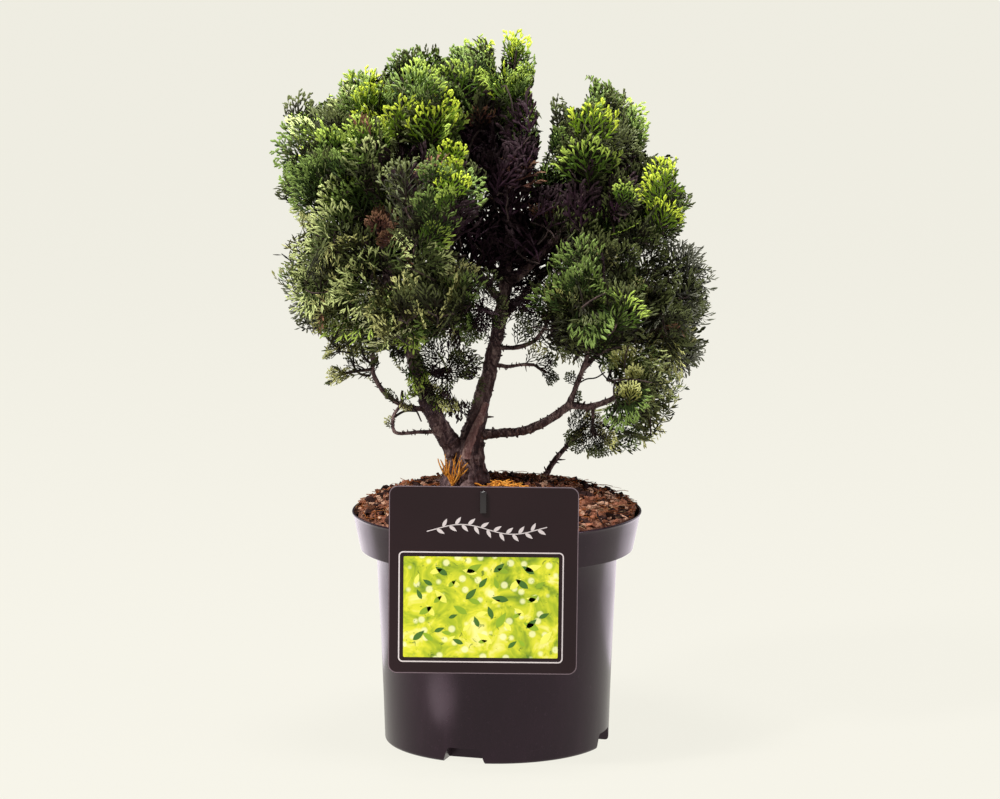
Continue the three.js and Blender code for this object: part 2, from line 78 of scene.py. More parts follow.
# name, root and tip radius, route
BOUGHS = [
    ("left_leader", 6.4, 1.6, [(-25, -1, 188), (-44, -8, 224), (-58, -16, 271), (-72, -16, 322),
     (-66, -12, 368), (-57, -12, 405)]),
    ("right_bough", 2.9, 2.2, [(-14, 0, 203), (2, -5, 205), (20, -11, 208), (36, -17, 217), (47, -20, 226)]),
    ("right_bough_up", 1.8, 1.2, [(46, -20, 224), (51, -20, 237), (58, -22, 256), (64, -28, 278)]),
    ("right_bough_out", 2.1, 1.5, [(46, -20, 226), (60, -21, 225), (72, -22, 229), (84, -24, 236)]),
    ("left_low_bough", 1.8, 1.2, [(-44, -8, 221), (-60, -13, 224), (-73, -18, 234), (-80, -20, 247),
     (-80, -21, 260)]),
    ("left_curl_twig", 1.3, 0.9, [(-34, -4, 206), (-50, -13, 207), (-66, -24, 209), (-67, -26, 219),
     (-61, -24, 228)]),
    ("centre_twig", 1.3, 0.9, [(-3, 3, 249), (8, -6, 249), (17, -10, 251), (25, -12, 251)]),
    ("upper_twig", 1.5, 1.1, [(0, 4, 260), (12, -2, 261), (24, -8, 266), (32, -15, 277)]),
    ("upper_right_bough", 3, 1.6, [(6, 10, 300), (26, 6, 318), (46, 2, 342), (60, 0, 372), (64, 0, 390)]),
    ("far_right_bough", 1.3, 1, [(56, -21, 250), (74, -12, 266), (98, -2, 284)]),
    ("back_right_bough", 2.6, 1.5, [(2, 8, 278), (22, 26, 296), (44, 44, 316)]),
    ("back_left_bough", 2.4, 1.5, [(3, 10, 290), (-18, 30, 310), (-42, 44, 330)]),
    ("basal_shoot", 1.9, 1.4, [(31, 42, SOIL_TOP - 2), (40, 39, 181), (54, 34, 198)]),
]
# name, centre, half sizes, sprays in the source, dense, shares of the tones
# the large shade and deep shares of masses that lie in shade, such as centre_upper, centre_back, right_inner
# and left_front, are painted shade
MASSES = [
    ("left_upper", (-95, -4, 390), (51, 42, 50), 16, True, "green 6 sage 2 fresh 2 deep 2 lime 1"),
    ("left_middle", (-101, -12, 324), (39, 42, 54), 16, True, "sage 7 olive 3 green 2"),
    ("left_lower", (-80, -18, 281), (44, 36, 31), 12, True, "frost 4 sage 3 olive 3 pale 1 fresh 1"),
    ("left_skirt", (-92, -24, 249), (15, 12, 15), 4, False, "olive 2 deep 3"),
    ("left_curl", (-61, -24, 236), (12, 10, 13), 4, False, "olive 2 deep 2"),
    ("left_top", (-52, -14, 422), (34, 32, 40), 12, True, "green 6 deep 3 fresh 1 lime 1"),
    ("left_front", (-42, -56, 366), (30, 34, 38), 12, True, "deep 5 shade 2 green 1"),
    ("front_low", (-42, -44, 308), (30, 32, 34), 11, True, "deep 6 olive 3 green 2"),
    ("inner_low", (-32, -16, 248), (23, 18, 34), 8, False, "deep 5 shade 4 olive 1"),
    ("top_middle", (-16, 22, 424), (34, 38, 42), 13, True, "deep 4 green 3 fresh 1"),
    ("top_spire", (11, 9, 436), (14, 16, 36), 8, True, "green 2 fresh 4 lime 3"),
    ("centre_upper", (9, 0, 382), (23, 28, 38), 8, True, "shade 1"),
    ("centre_front", (-10, -24, 290), (19, 18, 24), 6, False, "deep 3 shade 2 green 1"),
    ("centre_back", (10, 28, 334), (44, 40, 46), 10, True, "shade 1"),
    ("back_top", (-10, 76, 394), (44, 36, 46), 13, True, "green 4 deep 2 fresh 3 lime 1"),
    ("back_left", (-62, 56, 350), (52, 42, 52), 13, True, "green 4 sage 3 deep 2 fresh 1"),
    ("back_left_low", (-50, 42, 290), (38, 36, 30), 9, True, "olive 3 deep 3 green 2"),
    ("right_top", (64, 0, 401), (33, 38, 38), 13, True, "deep 6 green 3 fresh 1"),
    ("right_shoulder", (94, -6, 361), (28, 34, 39), 11, True, "deep 5 green 3 fresh 1"),
    ("right_inner", (52, 8, 357), (32, 36, 40), 8, True, "shade 5 deep 1"),
    ("right_middle", (64, -31, 294), (36, 34, 42), 13, True, "deep 5 olive 3 green 2"),
    ("far_right", (111, 0, 290), (33, 40, 48), 14, True, "slate 5 deep 4"),
    ("right_low", (93, -20, 235), (31, 34, 41), 12, True, "olive 4 sage 3 green 2 deep 1"),
    ("right_skirt", (63, -14, 207), (24, 16, 16), 6, False, "olive 2 deep 4"),
    ("centre_spray", (31, -14, 247), (12, 8, 9), 3, False, "deep 3 shade 1"),
    ("upper_twig", (31, -16, 283), (20, 16, 22), 7, False, "deep 4 shade 2"),
    ("back_right", (64, 58, 344), (50, 40, 50), 13, True, "green 4 deep 3 fresh 2 lime 1"),
    ("back_right_low", (72, 40, 276), (42, 36, 34), 10, True, "green 3 olive 3 deep 3"),
    ("basal", (59, 32, 206), (16, 11, 15), 4, False, "olive 2 deep 4"),
]
# the masses that have a bough of their own: what carries it, and where along
OWN_BOUGHS = {
    "left_upper": ("left_leader", 0.72), "left_front": ("left_leader", 0.68),
    "front_low": ("left_leader", 0.45), "centre_front": ("trunk", 0.4), "back_top": ("trunk", 0.7),
    "back_left_low": ("back_left_bough", 0.5), "right_shoulder": ("upper_right_bough", 0.6),
    "right_skirt": ("right_bough_out", 0.4), "back_right_low": ("back_right_bough", 0.5),
}
CROWN_HEART = np.array([0.0, 10.0, 330.0])
DEEPER = 1.22  # how much the masses here are deeper than their half sizes say, as in the source


def v(*p):
    return np.array(p, float)


def unit(a):
    a = np.asarray(a, float)
    return a / np.maximum(norm(a, axis=-1, keepdims=True), 1e-12)


def seeded(seed):
    """The source's random generator."""
    state = [seed & 0xFFFFFFFF]

    def step():
        state[0] = (state[0] + 0x6D2B79F5) & 0xFFFFFFFF
        t = state[0]
        t = ((t ^ (t >> 15)) * (t | 1)) & 0xFFFFFFFF
        t ^= (t + (((t ^ (t >> 7)) * (t | 61)) & 0xFFFFFFFF)) & 0xFFFFFFFF
        return ((t ^ (t >> 14)) & 0xFFFFFFFF) / 4294967296

    return step


# ---------------- meshes


def in_scene(name, data):
    """An object for a mesh, a light or a camera."""
    obj = bpy.data.objects.new(name, data)
    bpy.context.scene.collection.objects.link(obj)
    return obj


def settle(obj, material, slot, nodes):
    """Gives a piece its material and its body, and hides the CAD nodes that it stands for. The slot is not
    used.
    """
    obj.data.materials.append(material)
    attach(obj, "root")
    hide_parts(*nodes)


def mesh_piece(name, verts, faces, material, slot, nodes, smooth=False):
    """A piece from arrays of vertices and of faces, which are (n, 3), (n, 4) or a list of both."""
    mesh = bpy.data.meshes.new(name)
    groups = [np.asarray(g, np.int32) for g in (faces if isinstance(faces, list) else [faces])]
    loops = np.concatenate([g.ravel() for g in groups])
    sizes = np.concatenate([np.full(len(g), g.shape[1], np.int32) for g in groups])
    mesh.vertices.add(len(verts))
    mesh.vertices.foreach_set("co", (np.asarray(verts, np.float32) * MM).ravel())
    mesh.loops.add(len(loops))
    mesh.loops.foreach_set("vertex_index", loops)
    mesh.polygons.add(len(sizes))
    mesh.polygons.foreach_set("loop_start", np.concatenate([[0], np.cumsum(sizes)[:-1]]).astype(np.int32))
    mesh.polygons.foreach_set("loop_total", sizes)
    mesh.update(calc_edges=True)
    mesh.polygons.foreach_set("use_smooth", np.full(len(sizes), smooth))
    settle(in_scene(name, mesh), material, slot, nodes)


def plain_mesh(name, verts, groups, outward=True):
    """An object from vertices and groups of faces of any size, with its normals turned outward."""
    mesh = bpy.data.meshes.new(name)
    faces = [list(map(int, face)) for group in groups for face in group]
    mesh.from_pydata([tuple(p) for p in np.asarray(verts) * MM], [], faces)
    mesh.update()
    if outward:
        bm = bmesh.new()
        bm.from_mesh(mesh)
        bmesh.ops.recalc_face_normals(bm, faces=bm.faces)
        bm.to_mesh(mesh)
        bm.free()
    return in_scene(name, mesh)


def joined(parts):
    """Several (verts, faces) into one, faces being of one size."""
    verts, faces, n = [], [], 0
    for p, f in parts:
        verts.append(p)
        faces.append(np.asarray(f) + n)
        n += len(p)
    return np.concatenate(verts), np.concatenate(faces)


# ---------------- materials


def preset(node, **values):
    """Sets a node's inputs by name, _ standing for a space."""
    for key, value in values.items():
        node.inputs[key.replace("_", " ")].default_value = value
    return node


class Nodes:
    """A material's node tree, written in short."""

    def __init__(self, name):
        self.mat = bpy.data.materials.new(name)
        self.mat.use_nodes = True
        self.tree = self.mat.node_tree
        self.tree.nodes.clear()
        out = self.add("ShaderNodeOutputMaterial")
        self.shader = self.add("ShaderNodeBsdfPrincipled")
        self.link(self.shader.outputs[0], out.inputs[0])
        self.place = self.add("ShaderNodeTexCoord").outputs["Object"]

    def add(self, kind, **props):
        node = self.tree.nodes.new(kind)
        for key, value in props.items():
            setattr(node, key, value)
        return node

    def link(self, a, b):
        self.tree.links.new(a, b)

    def set(self, **values):
        preset(self.shader, **values)

    def noise(self, scale, detail, rough, distort=0.0, stretch=None):
        n = self.add("ShaderNodeTexNoise")
        preset(n, Scale=scale, Detail=detail, Roughness=rough, Distortion=distort)
        place = self.place
        if stretch is not None:
            m = preset(self.add("ShaderNodeMapping"), Scale=stretch)
            self.link(place, m.inputs["Vector"])
            place = m.outputs[0]
        self.link(place, n.inputs["Vector"])
        return n.outputs["Fac"]

    def ramp(self, fac, stops):
        r = self.add("ShaderNodeValToRGB")
        while len(r.color_ramp.elements) < len(stops):
            r.color_ramp.elements.new(0.5)
        for e, (at, colour) in zip(r.color_ramp.elements, stops):
            e.position, e.color = at, (*colour, 1)
        self.link(fac, r.inputs[0])
        return r.outputs[0]

    def mask(self, fac, at0, share0, at1, share1):
        """How far a second colour shows: one share up to at0, another from at1 on."""
        return self.ramp(fac, [(at0, (share0, share0, share0)), (at1, (share1, share1, share1))])

    def mix(self, fac, a, b):
        m = self.add("ShaderNodeMix", data_type="RGBA")
        for value, socket in ((fac, m.inputs[0]), (a, m.inputs[6]), (b, m.inputs[7])):
            if isinstance(value, tuple):
                socket.default_value = (*value, 1)
            else:
                self.link(value, socket)
        return m.outputs[2]

    def math(self, kind, a, b):
        m = self.add("ShaderNodeMath", operation=kind)
        for value, socket in zip((a, b), m.inputs):
            if isinstance(value, float):
                socket.default_value = value
            else:
                self.link(value, socket)
        return m.outputs[0]

    def colour(self, socket):
        self.link(socket, self.shader.inputs["Base Color"])

    def rough(self, fac, low, high):
        m = preset(self.add("ShaderNodeMapRange"), To_Min=low, To_Max=high)
        self.link(fac, m.inputs["Value"])
        self.link(m.outputs[0], self.shader.inputs["Roughness"])

    def bump(self, height, distance, strength, after=None):
        b = preset(self.add("ShaderNodeBump"), Distance=distance * MM, Strength=strength)
        self.link(height, b.inputs["Height"])
        if after is not None:
            self.link(after, b.inputs["Normal"])
        self.link(b.outputs[0], self.shader.inputs["Normal"])
        return b.outputs[0]


def srgb(r, g, b):
    """A colour given as 0-255 sRGB, in linear light."""
    return tuple(((c / 255 + 0.055) / 1.055) ** 2.4 if c > 10 else c / 255 / 12.92 for c in (r, g, b))


def stops(*rows):
    """The stops of a ramp, from rows of a place and a 0-255 sRGB colour."""
    return [(at, srgb(*colour)) for at, *colour in rows]


def shaded(colour, k):
    return tuple(min(1.0, c * k) for c in colour)


def leaf_material(name, colour, gloss):
    """Scale leaves: one base colour, with a fine mottle of lighter and darker scales and a waxy sheen."""
    n = Nodes(name)
    scales, patches = n.noise(900, 2, 0.5), n.noise(90, 3, 0.6)
    mottled = n.ramp(scales, [(0.3, shaded(colour, 0.72)), (0.7, shaded(colour, 1.28))])
    n.colour(n.mix(n.mask(patches, 0.35, 0.0, 0.7, 0.5), mottled, shaded(colour, 0.7)))
    n.rough(scales, 0.5, 0.68)
    n.set(Specular_IOR_Level=gloss)
    n.bump(scales, 0.15, 0.5)
    return n.mat


# tone: the colours of a spray's foot, middle and tips, as 0-255 sRGB
# the darker feet are painted shade within the spray; the lighter tips are partly the paler new growth and
# partly painted light
TONES = {
    "lime": ((42, 54, 9), (92, 118, 22), (188, 206, 60)),
    "fresh": ((30, 40, 8), (60, 82, 18), (148, 170, 68)),
    "green": ((24, 30, 8), (40, 56, 18), (108, 130, 60)),
    "sage": ((26, 30, 10), (66, 78, 36), (176, 186, 120)),
    "olive": ((31, 27, 12), (74, 74, 36), (176, 176, 112)),
    # pale: a light green, its tips lighter still as a painted highlight
    "pale": ((58, 54, 24), (118, 118, 58), (190, 192, 120)),
    "slate": ((25, 20, 20), (42, 42, 36), (104, 106, 90)),
    "deep": ((22, 16, 10), (31, 32, 15), (76, 83, 42)),
    "shade": ((38, 22, 32), (41, 26, 34), (46, 34, 38)),
    # a sage made paler in its middle and tips as a painted highlight, where light falls on the lower left
    "frost": ((36, 38, 20), (90, 98, 60), (206, 210, 158)),
    "dead": ((44, 27, 26), (80, 50, 42), (124, 88, 66)),
}
ZONES = ("foot", "middle", "tips")

# ---------------- limbs


ROUTE_STEPS, FINE_STEPS = 31, 201  # points along a limb, for its clearance and for what stands on it


def catmull(route, count):
    """Points at even steps of arc along a centripetal Catmull-Rom curve, as three.js walks it."""
    p = np.array(route, float)
    p = np.vstack([2 * p[0] - p[1], p, 2 * p[-1] - p[-2]])
    out = []
    for four in (p[i : i + 4] for i in range(len(p) - 3)):
        t = np.cumsum([0.0] + [max(norm(q) ** 0.5, 1e-4) for q in np.diff(four, axis=0)])
        s = np.linspace(t[1], t[2], 40, endpoint=False)[:, None]
        blend = lambda i, j, a, b: (t[j] - s) / (t[j] - t[i]) * a + (s - t[i]) / (t[j] - t[i]) * b
        a1, a2, a3 = (blend(i, i + 1, four[i], four[i + 1]) for i in range(3))
        out.append(blend(1, 2, blend(0, 2, a1, a2), blend(1, 3, a2, a3)))
    pts = np.vstack(out + [p[-2]])
    arc = np.concatenate([[0], np.cumsum(norm(np.diff(pts, axis=0), axis=1))])
    want = np.linspace(0, arc[-1], count)
    return np.stack([np.interp(want, arc, pts[:, k]) for k in range(3)], 1)


def trunk_radius(t):
    return 1 + 5.6 * (1 - t) ** 1.2 + 9 * np.exp(-((t / 0.1) ** 2))


class Limb:
    """A tapering limb: its route, and its radius at a share t of its length."""

    def __init__(self, route, radius):
        self.route, self.radius = route, radius
        self.points, self.radii = catmull(route, ROUTE_STEPS), radius(np.linspace(0, 1, ROUTE_STEPS))

    def fine(self):
        return catmull(self.route, FINE_STEPS)

    def length(self):
        return norm(np.diff(self.points, axis=0), axis=1).sum()


LIMBS = {"trunk": Limb(TRUNK_ROUTE, trunk_radius)}


def add_limb(name, root, tip, route):
    LIMBS[name] = Limb(route, lambda t: root + (tip - root) * np.asarray(t) ** 0.8)


for row in BOUGHS:
    add_limb(*row)

# ---------------- the masses' spaces


class Space:
    """What a mass keeps to: an ellipsoid, cut by a plane towards each other mass."""

    def __init__(self, name, centre, half, count, dense, tones):
        self.name, self.centre, self.half = name, v(*centre), v(*half) * v(1, DEEPER, 1)
        self.count, self.dense = count, dense
        self.tones, shares = tones.split()[0::2], np.array(tones.split()[1::2], float)
        self.shares = shares / shares.sum()
        self.mean = float(self.half.prod()) ** (1 / 3)

    def ellipsoid(self, u):
        return 1 / norm(u / self.half, axis=-1)

    def reach(self, u):
        walls = self.walls / np.maximum(u @ self.normals.T, 1e-6)
        return np.minimum(walls.min(-1), self.ellipsoid(u))

    def inside(self, p, slack=0.0):
        d = p - self.centre
        in_round = norm(d / (self.half + slack), axis=-1) <= 1
        return in_round & ((d @ self.normals.T) <= self.walls + slack).all(-1)


SPACES = [Space(*row) for row in MASSES]
for space in SPACES:
    others = [o for o in SPACES if o is not space]
    away = np.array([o.centre - space.centre for o in others])
    apart = norm(away, axis=1)
    space.normals = away / apart[:, None]
    mine = space.ellipsoid(space.normals)
    theirs = np.array([o.ellipsoid(n) for o, n in zip(others, space.normals)])
    space.walls = apart * mine / (mine + theirs) - GAP

for space in SPACES:
    if space.name in OWN_BOUGHS:
        carrier, along = LIMBS[OWN_BOUGHS[space.name][0]], OWN_BOUGHS[space.name][1]
        start = carrier.fine()[int(round(along * (FINE_STEPS - 1)))]
        back = unit(start - space.centre)
        end = space.centre + back * (space.reach(back) - 6)
        middle = (start + end) / 2 - v(0, 0, 0.08 * norm(end - start))
        add_limb(space.name + "_branch", min(0.6 * float(carrier.radius(along)), 2), 1, [start, middle, end])

LIMB_POINTS = np.vstack([limb.points for limb in LIMBS.values()])
LIMB_RADII = np.concatenate([limb.radii for limb in LIMBS.values()])

# ---------------- a spray of scale leaves


FAN = 38.0  # length of a full spray
MIDDLE_FROM, TIPS_FROM = 0.46, 0.74  # where the colour zones start, as a share of the fan


def turned(d, angle):
    c, s = math.cos(angle), math.sin(angle)
    return v(c * d[0] - s * d[1], s * d[0] + c * d[1])


def heading(degrees):
    """A direction in the spray's plane, in degrees from its axis."""
    return v(math.sin(math.radians(degrees)), math.cos(math.radians(degrees)))


def spray_template(seed, side_shoots, step, angles, lengths, widths, narrow, blunt):
    """One flat shell of strands, as leaf elements: their ends, width, roll and zone, and how blunt they are.
    It lies in its own x-y plane and grows along +y. Side shoots leave the axis in turn and bend up to the
    rim, and each carries short blunt fingers in turn, step apart, that leave it at the angles."""
    r = default_rng(seed)
    spread = r.uniform(33, 42) * narrow
    rows = []

    def rim(degrees):
        return FAN * (1 - 0.16 * (degrees / spread) ** 2) * r.uniform(0.86, 1.02)

    def element(a, b, width, finger):
        far = norm(b) / FAN
        zone = 2 if finger and far > TIPS_FROM else (1 if far > MIDDLE_FROM else 0)
        rows.append((a, b, width, r.uniform(-0.6, 0.6), r.normal(0, 0.45), zone))

    def shoot(a, leave, c, first):
        reach = norm(c - a)
        b = a + heading(leave) * reach * 0.5
        at = lambda s: (1 - s) ** 2 * a + 2 * s * (1 - s) * b + s * s * c
        way = lambda s: unit(at(min(s + 0.04, 1)) - at(s - 0.04))
        for s0, s1 in ((0, 0.4), (0.36, 0.74), (0.7, 1.0)):
            element(at(s0), at(s1), r.uniform(*widths) * 0.9, s1 == 1.0)
        side = r.choice([-1, 1])
        for k in range(max(1, int(reach * (1 - first) / step))):
            s = first + (0.93 - first) * (k + r.uniform(0.3, 0.7)) * step / (reach * (1 - first))
            side = -side
            f = turned(way(s), side * math.radians(r.uniform(*angles)))
            end = at(s) + f * r.uniform(*lengths) * (1.12 - 0.4 * s)
            element(at(s) - f * 0.4, end, r.uniform(*widths), True)
        f = turned(way(0.97), side * math.radians(r.uniform(*angles)))
        element(c - way(0.97) * 2.4, c - way(0.97) * 2.4 + f * lengths[0], r.uniform(*widths), True)

    shoot(v(0, 0), r.uniform(-3, 3), heading(r.uniform(-3, 3)) * rim(0), 0.5)
    for side in (-1, 1):
        for i in range(side_shoots):
            t = (i + 0.5 * (side > 0) + r.uniform(-0.15, 0.15)) / side_shoots
            angle = side * spread * (1 - 0.88 * t) * r.uniform(0.9, 1.08)
            foot = v(0, (0.04 + 0.68 * max(t, 0)) * FAN)
            shoot(foot, angle * 1.15 + side * 13, heading(angle) * rim(angle), 0.3)
    ends = np.array([[np.append(row[0], 0.0), np.append(row[1], 0.0)] for row in rows])
    ends[:, 1, 2] = [row[3] for row in rows]
    return ends, *(np.array([row[k] for row in rows]) for k in (2, 4, 5)), blunt


def bank(first_seed, count, *kind):
    """Some templates of one kind: side shoots, finger step, angles, lengths, widths, spread and bluntness."""
    return [spray_template(first_seed + k, *kind) for k in range(count)]


BRUSH = bank(500, 10, 5, 3.6, (17, 32), (4.8, 8.2), (1.25, 1.65), 1.0, 0.42)
ANTLER = bank(520, 10, 5, 3.5, (28, 46), (4.2, 6.4), (1.5, 1.95), 1.0, 0.55)
SLIM = bank(540, 6, 4, 3.3, (22, 38), (4.4, 7.4), (1.2, 1.55), 0.6, 0.3)
LACE = bank(560, 8, 4, 3.5, (24, 44), (4.6, 8.0), (1.05, 1.4), 1.1, 0.35)
PLAIN = bank(600, 8, 4, 5.0, (18, 34), (5.4, 9.2), (1.4, 1.8), 1.0, 0.3)
DARK = bank(620, 6, 3, 9.0, (18, 36), (6, 10), (2.2, 3.0), 1.0, 0.35)

# ---------------- what the front view shows of the crown


# the clefts and notches of the crown where sky shows, as outlines in the front view (x, z)
SKY = [
    [(26, 456), (24, 437), (22, 425), (27, 414), (26, 406), (28, 400), (28, 394), (26, 383), (23, 376),
     (28, 376), (31, 385), (34, 394), (36, 402), (36, 409), (35, 422), (37, 432), (44, 456)],
    [(-3, 470), (4, 470), (4, 452), (3, 441), (0, 438), (-2, 448)],
    [(42, 446), (56, 446), (51, 423), (47, 420)],
    [(-121, 440), (-106, 436), (-109, 422), (-118, 418)],
    [(-80, 456), (-70, 453), (-73, 440), (-77, 439)],
    [(-38, 464), (-29, 462), (-31, 449), (-36, 448)],
    [(-78, 258), (-70, 260), (-66, 247), (-59, 241), (-57, 232), (-64, 228), (-71, 235), (-76, 244)],
    [(98, 425), (98, 390), (102, 386), (111, 390), (126, 390), (131, 425)],
    [(117, 390), (116, 368), (122, 365), (132, 361), (146, 364), (146, 390)],
    [(123, 351), (121, 348), (123, 343), (118, 334), (122, 332), (132, 329), (146, 331), (146, 352)],
    [(38, 436), (39, 427), (43, 422), (47, 417), (54, 415), (59, 424), (61, 436)],
    [(-152, 350), (-131, 346), (-126, 341), (-122, 336), (-128, 335), (-135, 331), (-142, 322), (-152, 318)],
    [(-142, 274), (-124, 271), (-112, 268), (-110, 264), (-114, 253), (-98, 253), (-97, 249), (-114, 249),
     (-125, 240), (-142, 240)],
    [(-117, 230), (-112, 233), (-104, 236), (-97, 241), (-90, 241), (-84, 240), (-79, 236), (-75, 229),
     (-96, 222)],
    [(121, 232), (119, 224), (116, 214), (111, 205), (102, 197), (90, 191), (72, 188), (58, 187), (58, 176),
     (146, 176), (146, 232)],
    [(-29, 235), (-23, 241), (-17, 239), (-12, 244), (-11, 229), (-18, 224), (-25, 225), (-31, 229)],
    [(54, 238), (62, 241), (75, 238), (78, 227), (70, 221), (60, 225)],
    [(-108, 438), (-100, 438), (-102, 423), (-106, 422)],
]
# the dark hollows of the crown's front: middle and half size in the front view, and tones, of which shade and
# deep are painted shade and dead is the brown of dead sprays
HOLLOWS = [
    (v(-67, 339), v(22, 19), "dead dead shade deep"), (v(83, 387), v(14, 15), "shade deep shade"),
    (v(87, 353), v(15, 10), "shade deep"), (v(80, 318), v(7, 12), "shade deep"),
    (v(-17, 360), v(11, 34), "shade deep shade"), (v(37, 334), v(13, 14), "shade deep shade"),
]
FRONT_Y = -5  # the crown's front is what lies before this depth
EYE = v(2, -2500, 621)  # where the front view is seen from


def front_view(p):
    """Points as seen from the front, on the plane y = 0."""
    k = -EYE[1] / (p[..., 1] - EYE[1])
    return np.stack([EYE[0] + (p[..., 0] - EYE[0]) * k, EYE[2] + (p[..., 2] - EYE[2]) * k], -1)


def at_depth(x, z, depth):
    """The points at a depth or depths that the front view shows at x, z."""
    k = (depth - EYE[1]) / -EYE[1]
    return np.stack([EYE[0] + (x - EYE[0]) * k, depth, EYE[2] + (z - EYE[2]) * k], -1)


def within(outline, q):
    """Which of the points q lie in an outline."""
    inside = np.zeros(q.shape[:-1], bool)
    for (x0, z0), (x1, z1) in zip(outline, outline[1:] + outline[:1]):
        crosses = (z0 > q[..., 1]) != (z1 > q[..., 1])
        if z0 != z1:
            inside ^= crosses & (q[..., 0] < (x1 - x0) * (q[..., 1] - z0) / (z1 - z0) + x0)
    return inside


def in_sky(p):
    """Which points the front view shows in a cleft or notch."""
    q = front_view(p)
    return np.logical_or.reduce([within(outline, q) for outline in SKY])


def hollow_tones(p):
    """The tones of the dark hollow that a point of the crown's front is in, if it is in one."""
    q = front_view(p)
    found = [tones for middle, size, tones in HOLLOWS if norm((q - middle) / size) < 1]
    return found[0].split() if found and p[1] < FRONT_Y else []


class Foliage:
    """Gathers placed sprays and turns them into leaf elements for each colour."""

    def __init__(self):
        self.batches = {}

    def add(self, template, tone, root, along, face, size, cup, curl, twist):
        key = (id(template[0]), tone)
        row = np.concatenate([root, along, face, [size, cup, curl, twist]])
        self.batches.setdefault(key, (template, tone, []))[2].append(row)

    def elements(self):
        groups = {}
        for (ends, width, roll, zone, blunt), tone, rows in self.batches.values():
            rows = np.array(rows)
            root, along, face = rows[:, 0:3], unit(rows[:, 3:6]), rows[:, 6:9]
            side = unit(np.cross(along, face))
            face = np.cross(side, along)
            size, cup, curl, twist = rows[:, 9:13].T[:, :, None, None]
            x, y, lift = ends[None, ..., 0] * size, ends[None, ..., 1] * size, ends[None, ..., 2] * size
            span = FAN * size
            z = lift + (cup * x * x + curl * y * y) / span
            turn = twist * y / span
            x, z = x * np.cos(turn) - z * np.sin(turn), x * np.sin(turn) + z * np.cos(turn)
            world = root[:, None, None]
            for offset, way in ((x, side), (y, along), (z, face)):
                world = world + offset[..., None] * way[:, None, None]
            a, b = world[:, :, 0], world[:, :, 1]
            way = unit(b - a)
            flat = unit(np.cross(way, np.broadcast_to(face[:, None], a.shape)))
            up = np.cross(flat, way)
            c, s = np.cos(roll)[None, :, None], np.sin(roll)[None, :, None]
            flat, up = flat * c + up * s, up * c - flat * s
            half = 0.5 * width[None, :, None] * np.sqrt(size)
            at = lambda k: a + (b - a) * k
            end = flat * half * blunt
            six = np.stack([a, at(0.6) + flat * half, at(0.97) + end, at(1.0) - end, at(0.6) - flat * half,
                            at(0.62) + up * half * 0.8], 2)
            open_air = in_sky(six[:, :, 5])
            for k, name in enumerate(ZONES):
                groups.setdefault((tone, name), []).append(six[~open_air & (zone == k)[None]])
        return {key: np.concatenate(chunks) for key, chunks in groups.items()}


# ---------------- growing each mass


foliage = Foliage()
TWIGS = []  # (points, radii) of every fine twig
LOW, HIGH = np.array(CAD_BOX) / MM
PROUD = v(-1, 1, 3)  # how far the sprays may stand proud of the solids' box
SPRAY_COVER = {"outer": 290.0, "under": 520.0, "heart": 1300.0}  # mm2 of a mass's skin for each spray
LAYER_SHARE = {"outer": (0.92, 1.0), "under": (0.72, 0.86), "heart": (0.4, 0.62)}  # of the way to the skin
COVERED_SKIPPED = {"outer": 0.8, "under": 0.5, "heart": 0.2}  # share of sprays left out under other masses
RIM_KEPT = {"outer": 0.7, "under": 0.3, "heart": 0.3}  # share of the sprays kept where the rim is lace
# the lacy masses, with the share of their sprays that is kept
LACY = {"far_right": 0.6, "right_low": 0.75, "left_lower": 0.75, "left_middle": 0.9, "left_front": 0.8}
FULLNESS = {"inner_low": 5, "centre_front": 5, "right_skirt": 3, "upper_twig": 3, "left_skirt": 1.2,
            "centre_spray": 1.0}  # of the sparse masses, in sprays for each one of the source's
HOLLOW_SKIPPED = 0.55  # share of the sprays left out in a hollow
UNDER_TONE = {"frost": "olive", "lime": "green", "fresh": "green", "sage": "deep", "green": "deep",
              "olive": "deep", "slate": "deep"}  # what a tone becomes under the outer sprays: a darker one, as painted shade
CROWN_SIZE = v(150, 125, 145)
CROWN_FOOT = v(-8, 4, 268)
HEART_X, HEART_WIDTH, HEART_Y = 8, 36, -30  # where the purplish shade at the crown's heart is
FILLET, DEEPEST_FILL = 9.0, 26  # how round the creases between masses are, and how far they fill at most
RIM_WIDTH = 12  # how near the sky the rim is
WALLED = 0.93  # a mass has a neighbour where its reach is under this share of its ellipsoid's
INNER, SHADED = 0.5, 0.75  # crown depths under which all is covered, and under which the covered is in shade
DEAD_SHARE = 0.03  # of the sprays under others
RAGGED = 0.2  # how far the skin sinks between its waves, as a share of the reach
HIGH_UP, MIDWAY = 350, 300  # heights at which the sprays change their habit
LEAN = {"outer": (0.25, 0.75), "under": (0.0, 0.5), "heart": (0.0, 0.5)}  # how far sprays lean off the skin
SPRAY_SIZE = (0.72, 1.08)  # as a share of a full spray
MOSTLY, ROLL_FEW = 0.82, 1.3  # the share of sprays that lie nearly flat, and how far the others are rolled
TWIG_STEM, TWIG_SIDE, TWIG_FINE = (1.5, 1.0), (1.0, 0.7), (0.7, 0.45)  # radii at a twig's foot and tip
DENSE = [space for space in SPACES if space.dense]
CENTRES, HALVES = np.array([space.centre for space in DENSE]), np.array([space.half for space in DENSE])
MEANS = HALVES.prod(axis=1) ** (1 / 3)


def crown_depth(p):
    """0 at the crown's heart, about 1 at its skin."""
    return float(norm((p - CROWN_HEART) / CROWN_SIZE))


def outside(p):
    """About how far a point is from the masses' common skin, in which their creases are rounded out."""
    n = norm((p - CENTRES) / HALVES, axis=1)
    return -FILLET * math.log(np.exp((1 - n) * MEANS / FILLET).sum())


